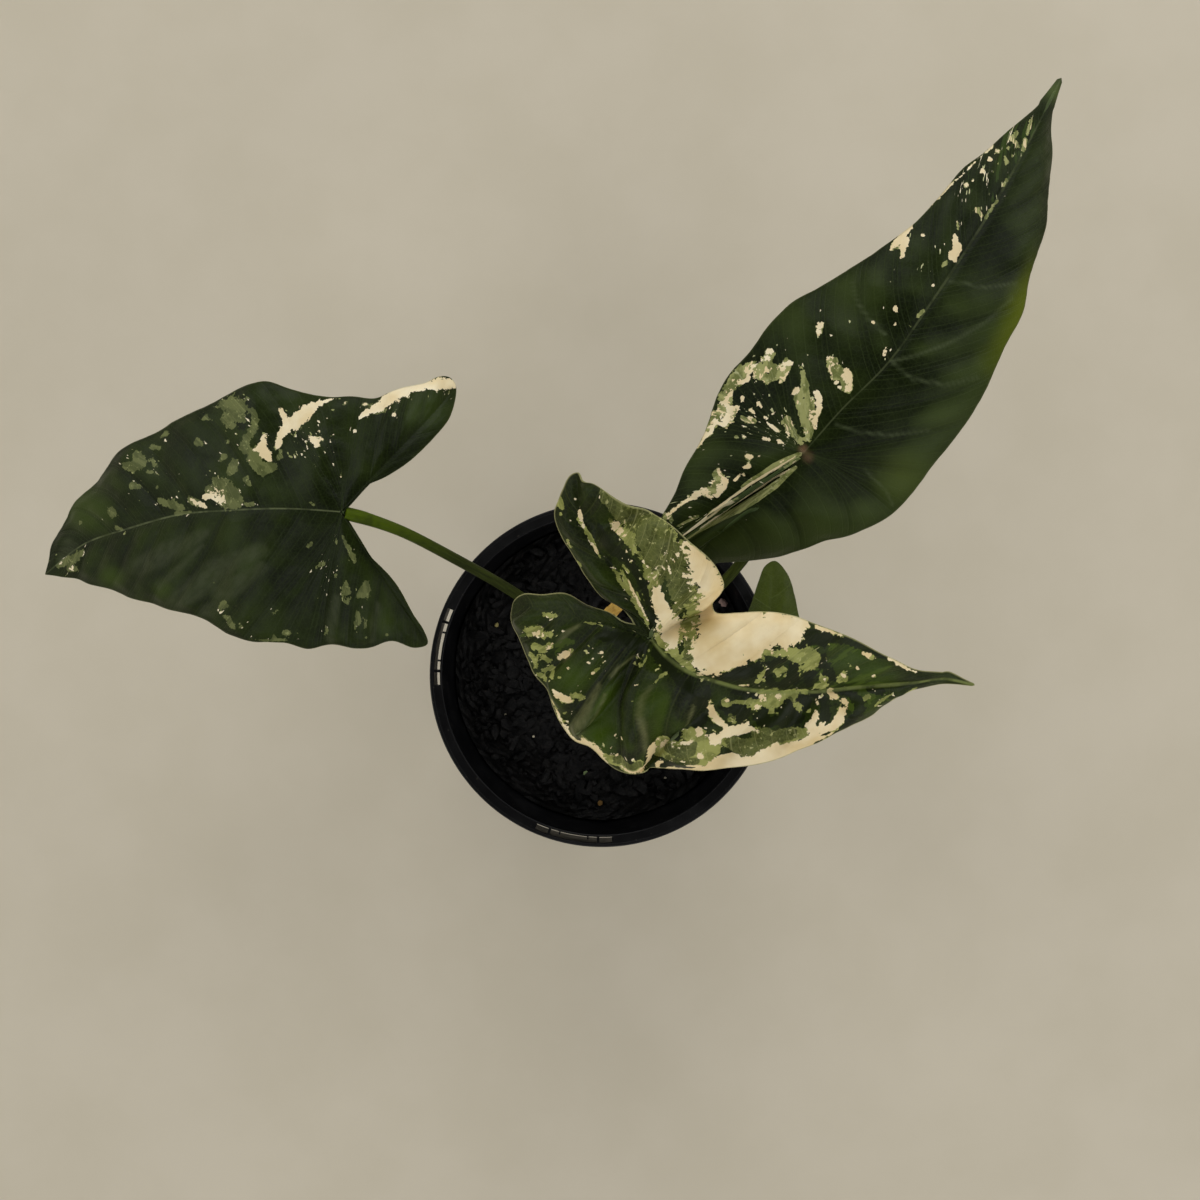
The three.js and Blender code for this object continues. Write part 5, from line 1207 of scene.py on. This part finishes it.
for pieceName, (nodeName, ownForm) in petioles.items():
    makeStalk(pieceName, {**petioleForm, **ownForm}, stalkSkin, "petiole", nodeName)
makeStalk("oldPetioleStump", oldPetiole, witheredSkin, "old_petiole", "old_petiole")
print("stalks ready")


# The crown

crown = {
    # lengths in mm
    "x": 5, "y": 3.5, "sides": 96, "steps": 10,
    "radius": 9.4,
    # share of the radius, height
    "profile": [(0.5, 60), (0.93, 66), (1, 73), (0.9, 80), (0.7, 83.4), (0.36, 84.6)],
    "scars": [66, 71, 76, 80], "scarWidth": 0.45, "scarDepth": 0.35, "scarTilt": 0.8,
    "ribs": 19, "ribDepth": 0.12, "unevenness": 0.15,
}


def makeCrown():
    # the short stem: smooth green sheath bases with the rings of old leaf scars round them
    profile = smoothPath([(crown["radius"] * share, z, 0) for share, z in crown["profile"]], crown["steps"])
    sides = crown["sides"]
    points = []
    for radius, z, _ in profile:
        for step in range(sides):
            turn = step / sides * math.tau
            tilt = z + crown["scarTilt"] * math.sin(turn * 2 + 0.7)
            scar = sum(math.exp(-((tilt - level) / crown["scarWidth"]) ** 2) for level in crown["scars"])
            ribs = crown["ribDepth"] * math.sin(turn * crown["ribs"] + 0.3 * z)
            uneven = crown["unevenness"] * math.sin(turn * 5 + z * 0.5)
            wide = radius - scar * crown["scarDepth"] + ribs + uneven
            points.append((crown["x"] + wide * math.cos(turn), crown["y"] + wide * math.sin(turn), z))
    faces = ringFaces(len(profile), sides)
    faces += [tuple(range(sides))[::-1], tuple(range(len(points) - sides, len(points)))]
    mesh = startMesh("crownStem", points, faces)
    shadeSmooth(mesh, 60)
    # Fleshy stem covered by leaf sheaths: satin, green above and brown where it meets the mix
    made, node = startMaterial("alocasiaStemSheathed")
    spot = node("TexCoord").outputs["Object"]
    height = node("SeparateXYZ", {}, [spot]).outputs[2]
    blotch = node("TexNoise", {}, {"Vector": spot, "Scale": 1 / (3 * mm), "Detail": 4, "Roughness": 0.55})
    tall = node("MapRange", smooth, [node("Math", timesPlus, [blotch, 8 * mm, height]), 76 * mm, 86 * mm])
    colour = node("Mix", colours, [tall, "#3a2a1a", "#4f6128"])
    colour = node("Mix", colours, [node("MapRange", smooth, [blotch, 0.5, 0.7, 0.0, 0.4]), colour, "#6a5a30"])
    relief = node("Bump", {}, {"Height": blotch, "Distance": 0.3 * mm, "Strength": 0.6})
    shader = node("BsdfPrincipled", {}, {"Base Color": colour, "Normal": relief, "Roughness": 0.5,
                                         "IOR": 1.45})
    node("OutputMaterial", {}, {"Surface": shader})
    placePiece("crownStem", mesh, made, "crown", "crown")


makeCrown()


# The nursery pot

pot = {
    # lengths in mm, bearings in degrees
    "height": 90, "sides": 288, "edgeBevel": 0.12,
    "rimRound": 0.6, "lipRound": 0.5, "skirtRound": 0.4, "footRound": 1.2, "innerRound": 0.3,
    "ring": [(0.95, 0), (1.05, 0.08), (1.15, 0)],     # a fine moulded ring: inwards and down from the rim
    "rimRadius": 52.5, "skirtThickness": 1.1, "skirtDepth": 10, "ledgeThickness": 1.4,
    "wall": 1, "wallTopRadius": 49, "shoulderHeight": 74, "shoulderRadius": 47.6, "neckRadius": 46.6,
    "shoulderRise": 1.6, "baseRadius": 36, "baseThickness": 1.8,
    "slotInner": 49.35, "slotOuter": 51.2, "slotGroups": 4, "slotFirst": 80, "longCell": 8.2,
    "nib": (4.7, 5.3), "nibDepth": 0.9, "endCell": (9.1, 13.5),
    "holes": [(8, 28.5, 3.4), (4, 13, 3)],     # how many, the radius they stand on, and their own
}


def wallRadius(z):
    return pot["baseRadius"] + (pot["neckRadius"] - pot["baseRadius"]) * (z - pot["baseThickness"]) / (
        pot["shoulderHeight"] - pot["baseThickness"])


def prism(bm, outline, bottom, top):
    lower = [bm.verts.new((x * mm, y * mm, bottom * mm)) for x, y in outline]
    upper = [bm.verts.new((x * mm, y * mm, top * mm)) for x, y in outline]
    bm.faces.new(lower[::-1])
    bm.faces.new(upper)
    for i in range(len(outline)):
        j = (i + 1) % len(outline)
        bm.faces.new((lower[i], lower[j], upper[j], upper[i]))


def makePotCutter():
    bm = bmesh.new()
    low, high = pot["height"] - pot["ledgeThickness"] - 1, pot["height"] + 1
    inner, outer, nibTop = pot["slotInner"], pot["slotOuter"], pot["slotInner"] + pot["nibDepth"]
    nibFrom, nibTo = pot["nib"]
    long = pot["longCell"]
    for group in range(pot["slotGroups"]):
        middle = pot["slotFirst"] + group * 360 / pot["slotGroups"]
        outline = [(outer, a) for a in np.linspace(-long, long, 15)]
        outline += [(inner, long)]
        for turn in (1, -1):
            nib = [(inner, nibTo), (nibTop, nibTo), (nibTop, nibFrom), (inner, nibFrom)]
            outline += [(r, turn * a) for r, a in (nib if turn > 0 else nib[::-1])]
            if turn > 0:
                outline += [(inner, a) for a in np.linspace(nibFrom, -nibFrom, 9)[1:-1]]
        outline += [(inner, -long)]
        prism(bm, [ringPoint(r, middle + a) for r, a in outline], low, high)
        for turn in (1, -1):
            ends = np.linspace(turn * pot["endCell"][0], turn * pot["endCell"][1], 5)
            cell = [(outer, a) for a in ends] + [(inner, a) for a in ends[::-1]]
            prism(bm, [ringPoint(r, middle + a) for r, a in (cell if turn > 0 else cell[::-1])], low, high)
    for count, ring, size in pot["holes"]:
        for i in range(count):
            x, y = ringPoint(ring, (i + 0.5) / count * 360)
            turns = np.linspace(0, math.tau, 33)[:-1]
            circle = [(x + size * math.cos(a), y + size * math.sin(a)) for a in turns]
            prism(bm, circle, -1, pot["baseThickness"] + 1)
    bmesh.ops.recalc_face_normals(bm, faces=bm.faces)
    mesh = bpy.data.meshes.new("potCutter")
    bm.to_mesh(mesh)
    bm.free()
    cutter = bpy.data.objects.new("potCutter", mesh)
    scene.collection.objects.link(cutter)
    return cutter


def arc(centre, radius, fromDegrees, toDegrees, count=4):
    return [(centre[0] + radius * math.cos(math.radians(a)), centre[1] + radius * math.sin(math.radians(a)))
            for a in np.linspace(fromDegrees, toDegrees, count)]


def makePotMaterial():
    # Polypropylene injection moulded in a fine-blasted tool: black, satin, a little paler where it is rubbed
    # and dusty
    made, node = startMaterial("polypropyleneBlackMoulded")
    spot = node("TexCoord").outputs["Object"]
    dust = node("TexNoise", {}, {"Vector": spot, "Scale": 1 / (11 * mm), "Detail": 5, "Roughness": 0.65})
    speck = node("TexNoise", {}, {"Vector": spot, "Scale": 1 / (1.1 * mm), "Detail": 2, "Roughness": 0.55})
    # tool texture, drawn at 0.5 mm; the real grain is near 0.1 mm
    grit = node("TexNoise", {}, {"Vector": spot, "Scale": 1 / (0.5 * mm), "Detail": 2, "Roughness": 0.55})
    dusty = node("MapRange", smooth, [dust, 0.45, 0.75, 0.0, 0.5])
    colour = node("Mix", colours, [dusty, "#040405", "#101011"])
    specked = node("MapRange", smooth, [speck, 0.68, 0.74, 0.0, 0.25])
    colour = node("Mix", colours, [specked, colour, "#5a564e"])
    sheen = node("MapRange", {}, [dust, 0.35, 0.75, 0.36, 0.56])
    relief = node("Bump", {}, {"Height": grit, "Distance": 0.04 * mm, "Strength": 0.5})
    shader = node("BsdfPrincipled", {}, {"Base Color": colour, "Roughness": sheen, "Normal": relief,
                                         "IOR": 1.49, "Specular IOR Level": 0.22})
    node("OutputMaterial", {}, {"Surface": shader})
    return made


def makePot():
    height, rim, wall, base = pot["height"], pot["rimRadius"], pot["wall"], pot["baseThickness"]
    skirtInner, skirtBottom = rim - pot["skirtThickness"], height - pot["skirtDepth"]
    ledgeBottom = height - pot["ledgeThickness"]
    top, shoulder, shoulderRadius = pot["wallTopRadius"], pot["shoulderHeight"], pot["shoulderRadius"]
    foot, lip, skirt, rimEdge = pot["footRound"], pot["lipRound"], pot["skirtRound"], pot["rimRound"]
    inner = pot["innerRound"]
    profile = [(0, 0), (pot["baseRadius"] - 8, 0), (pot["baseRadius"] - 2, 0)]
    profile += arc((pot["baseRadius"] - foot, foot), foot, -80, -8)
    profile += [(wallRadius(shoulder * s), shoulder * s) for s in (0.25, 0.5, 0.75)]
    profile += [(wallRadius(shoulder), shoulder), (wallRadius(shoulder) + 0.25, shoulder + 0.25),
                (shoulderRadius, shoulder + 1), (shoulderRadius + 0.1, shoulder + pot["shoulderRise"]),
                (top, ledgeBottom - inner), (top + inner, ledgeBottom)]
    profile += [(skirtInner - inner, ledgeBottom), (skirtInner, ledgeBottom - inner),
                (skirtInner, skirtBottom + 0.2)]
    profile += arc((rim - skirt, skirtBottom + skirt), skirt, -110, 0)
    profile += arc((rim - rimEdge, height - rimEdge), rimEdge, 0, 90, 6)
    profile += [(rim - inwards, height - down) for inwards, down in pot["ring"]]
    profile += [(top + 0.15, height)]
    profile += arc((top + 0.1, height - lip), lip, 95, 190, 5)
    profile += [(top - wall + 0.25, height - 2), (shoulderRadius - wall, shoulder + 1),
                (wallRadius(shoulder) - wall, shoulder)]
    profile += [(wallRadius(base + 0.8) - wall, base + 0.8), (wallRadius(base) - wall - 0.6, base), (0, base)]
    sides = pot["sides"]
    points = [(0, 0, profile[0][1])]
    for radius, z in profile[1:-1]:
        points += [(*ringPoint(radius, step / sides * 360), z) for step in range(sides)]
    points.append((0, 0, profile[-1][1]))
    mesh = startMesh("nurseryPot", points, closedRings(len(profile) - 2, sides))
    draft = bpy.data.objects.new("potDraft", mesh)
    scene.collection.objects.link(draft)
    cutter = makePotCutter()
    cut = draft.modifiers.new("slotsAndHoles", "BOOLEAN")
    cut.operation = "DIFFERENCE"
    cut.solver = "EXACT"
    cut.object = cutter
    bevel = draft.modifiers.new("mouldedEdges", "BEVEL")
    bevel.width = pot["edgeBevel"] * mm
    bevel.segments = 2
    bevel.limit_method = "ANGLE"
    bevel.angle_limit = math.radians(60)
    bpy.context.view_layer.update()
    finished = bpy.data.meshes.new_from_object(draft.evaluated_get(bpy.context.evaluated_depsgraph_get()))
    for spare in (draft, cutter):
        bpy.data.objects.remove(spare)
    shadeSmooth(finished, 35)
    placePiece("nurseryPot", finished, makePotMaterial(), "pot", "nursery_pot")


makePot()


# The potting mix

mix = {
    # lengths in mm, the lean in radians
    "top": 77, "bottom": 2.1, "clear": 1.4, "rings": 46, "sides": 150, "seed": 11,
    "swell": 1.1, "deepest": 1, "settled": 10, "fines": 0.35,
    "chunks": 1150, "crumbSize": (0.7, 1.5), "barkSize": (1.4, 2.9), "barkEvery": 3,
    "lean": 0.7, "broken": (0.78, 1.15), "raised": (0.05, 0.45),
    # along, across and through a piece, as shares of its size
    "crumbForm": (1.1, 0.75, 0.45), "strayForm": (1.1, 0.9, 0.7),
    "barkForm": ((1.2, 2), (0.5, 0.9), (0.2, 0.4)),
}
# single pieces that catch the eye: x, y, radius, colour
strayBits = [(38, 22, 1.7, "#9a8078"), (-0.6, -41, 1, "#5e4620"), (-5, -31.5, 0.9, "#6a7a50"),
             (-33, 15, 0.9, "#8a8050"), (-30.5, -13, 0.5, "#b0a890"), (-21.5, -20, 0.5, "#b0a890"),
             (20, -33, 0.5, "#9a9480")]


def mixRise(x, y):
    # low swells that die out in the middle
    settled = min(1, math.hypot(x, y) / mix["settled"])
    waves = math.sin(0.16 * x + 0.09 * y) + 0.6 * math.cos(0.21 * x - 0.27 * y)
    return max(mix["swell"] * settled * waves, -mix["deepest"])


def makeMixMaterial(name, dark, pale):
    # Composted bark: broken and damp, so it is nearly black and dull, with a wet glint on some faces
    made, node = startMaterial(name)
    spot = node("TexCoord").outputs["Object"]
    coarse = node("TexNoise", {}, {"Vector": spot, "Scale": 1 / (2.2 * mm), "Detail": 5, "Roughness": 0.65})
    fibre = node("TexNoise", {}, {"Vector": spot, "Scale": 1 / (0.6 * mm), "Detail": 3, "Roughness": 0.55})
    colour = node("Mix", colours, [node("MapRange", smooth, [coarse, 0.38, 0.7]), dark, pale])
    frayed = node("MapRange", smooth, [fibre, 0.66, 0.74, 0.0, 0.2])
    colour = node("Mix", colours, [frayed, colour, "#4a3a2c"])
    sheen = node("MapRange", {}, [coarse, 0.35, 0.7, 0.85, 0.55])
    relief = node("Bump", {}, {"Height": fibre, "Distance": 0.25 * mm, "Strength": 0.8})
    shader = node("BsdfPrincipled", {}, {"Base Color": colour, "Roughness": sheen, "Normal": relief,
                                         "IOR": 1.4, "Specular IOR Level": 0.25})
    node("OutputMaterial", {}, {"Surface": shader})
    return made


def addChunk(bm, place, size, draw, stretch):
    lean = mix["lean"]
    angles = draw.uniform(-lean, lean), draw.uniform(-lean, lean), draw.uniform(0, math.tau)
    turn = Euler(angles).to_matrix()
    for vert in bmesh.ops.create_icosphere(bm, subdivisions=1, radius=1)["verts"]:
        rough = vert.co * draw.uniform(*mix["broken"])
        drawn = Vector((rough.x * stretch[0], rough.y * stretch[1], rough.z * stretch[2]))
        vert.co = (turn @ drawn) * size * mm + place


def makeMix():
    draw = random.Random(mix["seed"])
    topRadius = pot["shoulderRadius"] - mix["clear"]
    levels = [(wallRadius(mix["bottom"]) - mix["clear"], mix["bottom"]),
              (wallRadius(pot["shoulderHeight"]) - mix["clear"], pot["shoulderHeight"] + 0.3),
              (topRadius, pot["shoulderHeight"] + pot["shoulderRise"])]
    sides, rings = mix["sides"], mix["rings"]
    points = [(0, 0, mix["bottom"])]
    for radius, z in levels:
        points += [(*ringPoint(radius, j / sides * 360), z) for j in range(sides)]
    for ring in range(rings, 0, -1):
        for j in range(sides):
            x, y = ringPoint(topRadius * ring / rings, j / sides * 360)
            crumb = draw.uniform(-mix["fines"], mix["fines"]) + 0.3 * math.sin(1.7 * x) * math.cos(1.5 * y)
            points.append((x, y, mix["top"] + mixRise(x, y) + crumb))
    points.append((0, 0, mix["top"]))
    mesh = startMesh("pottingMix", points, closedRings(len(levels) + rings, sides))
    bm = bmesh.new()
    bm.from_mesh(mesh)
    for i in range(mix["chunks"]):
        bark = i % mix["barkEvery"] == 0
        size = draw.uniform(*mix["barkSize" if bark else "crumbSize"])
        reach = (topRadius - size * 1.7) * math.sqrt(draw.random())
        x, y = ringPoint(reach, draw.uniform(0, 360))
        stretch = [draw.uniform(*span) for span in mix["barkForm"]] if bark else mix["crumbForm"]
        height = mix["top"] + mixRise(x, y) + size * draw.uniform(*mix["raised"])
        addChunk(bm, Vector((x, y, height)) * mm, size, draw, stretch)
    bm.to_mesh(mesh)
    bm.free()
    damp = makeMixMaterial("barkMixDamp", "#030303", "#0c0a08")
    placePiece("pottingMix", mesh, damp, "mix", "potting_mix")
    for number, (x, y, size, tone) in enumerate(strayBits):
        bm = bmesh.new()
        height = mix["top"] + mixRise(x, y) + size * 0.9
        addChunk(bm, Vector((x, y, height)) * mm, size, draw, mix["strayForm"])
        bit = bpy.data.meshes.new(f"strayBit{number + 1}")
        bm.to_mesh(bit)
        bm.free()
        placePiece(f"strayBit{number + 1}", bit, makeMixMaterial(f"gritStray{number + 1}", tone, tone), "mix")


makeMix()


# Floor, light and camera

studio = {
    "floor": "#c8bfaa", "floorMottle": "#cdc4b0", "floorReach": 3,
    "sky": "#d9d4c8", "skyStrength": 0.11,
    # big soft lamps in a ring, so the ceiling over the leaves stays dark: bearing in degrees, power in watts
    # and the rest in metres
    "ringRadius": 1.5, "ringHeight": 0.85, "lampSize": 1.3, "lampAim": (0, 0.03, 0.12),
    "lamps": {"back": (90, 12), "backLeft": (150, 7), "backRight": (30, 9), "left": (180, 2),
              "frontLeft": (210, 5.5), "frontRight": (330, 8), "front": (270, 8)},
}


def makeStudio():
    reach = studio["floorReach"]
    mesh = bpy.data.meshes.new("floor")
    corners = [(-reach, -reach, 0), (reach, -reach, 0), (reach, reach, 0), (-reach, reach, 0)]
    mesh.from_pydata(corners, [], [(0, 1, 2, 3)])
    floor = bpy.data.objects.new("floor", mesh)
    scene.collection.objects.link(floor)
    # Flat paint, rolled on: even and pale, with the faintest mottle
    made, node = startMaterial("paintPaleRolled")
    spot = node("TexCoord").outputs["Object"]
    cloud = node("TexNoise", {}, {"Vector": spot, "Scale": 1 / (60 * mm), "Detail": 4, "Roughness": 0.55})
    cloud = node("MapRange", smooth, [cloud, 0.3, 0.7])
    colour = node("Mix", colours, [cloud, studio["floor"], studio["floorMottle"]])
    shader = node("BsdfPrincipled", {}, {"Base Color": colour, "Roughness": 0.75, "IOR": 1.45})
    node("OutputMaterial", {}, {"Surface": shader})
    mesh.materials.append(made)
    world = bpy.data.worlds.new("studioRoom")
    world.use_nodes = True
    sky = world.node_tree.nodes["Background"].inputs
    sky["Color"].default_value = toLinear(studio["sky"])
    sky["Strength"].default_value = studio["skyStrength"]
    scene.world = world
    for name, (bearing, power) in studio["lamps"].items():
        lamp = bpy.data.lights.new(name, "AREA")
        lamp.shape = "DISK"
        lamp.size = studio["lampSize"]
        lamp.energy = power
        holder = bpy.data.objects.new(name, lamp)
        place = (*ringPoint(studio["ringRadius"], bearing), studio["ringHeight"])
        holder.location = place
        aim = Vector(studio["lampAim"]) - Vector(place)
        holder.rotation_euler = aim.to_track_quat("-Z", "Y").to_euler()
        scene.collection.objects.link(holder)
    camera = bpy.data.objects.new("planCamera", bpy.data.cameras.new("planCamera"))
    camera.location = Vector(plan["place"]) * mm
    camera.data.sensor_width = plan["sensor"]
    camera.data.lens = plan["lens"]
    camera.data.clip_start = 0.01
    scene.collection.objects.link(camera)
    scene.camera = camera
    scene.view_settings.view_transform = "Standard"


makeStudio()
print("studio ready")
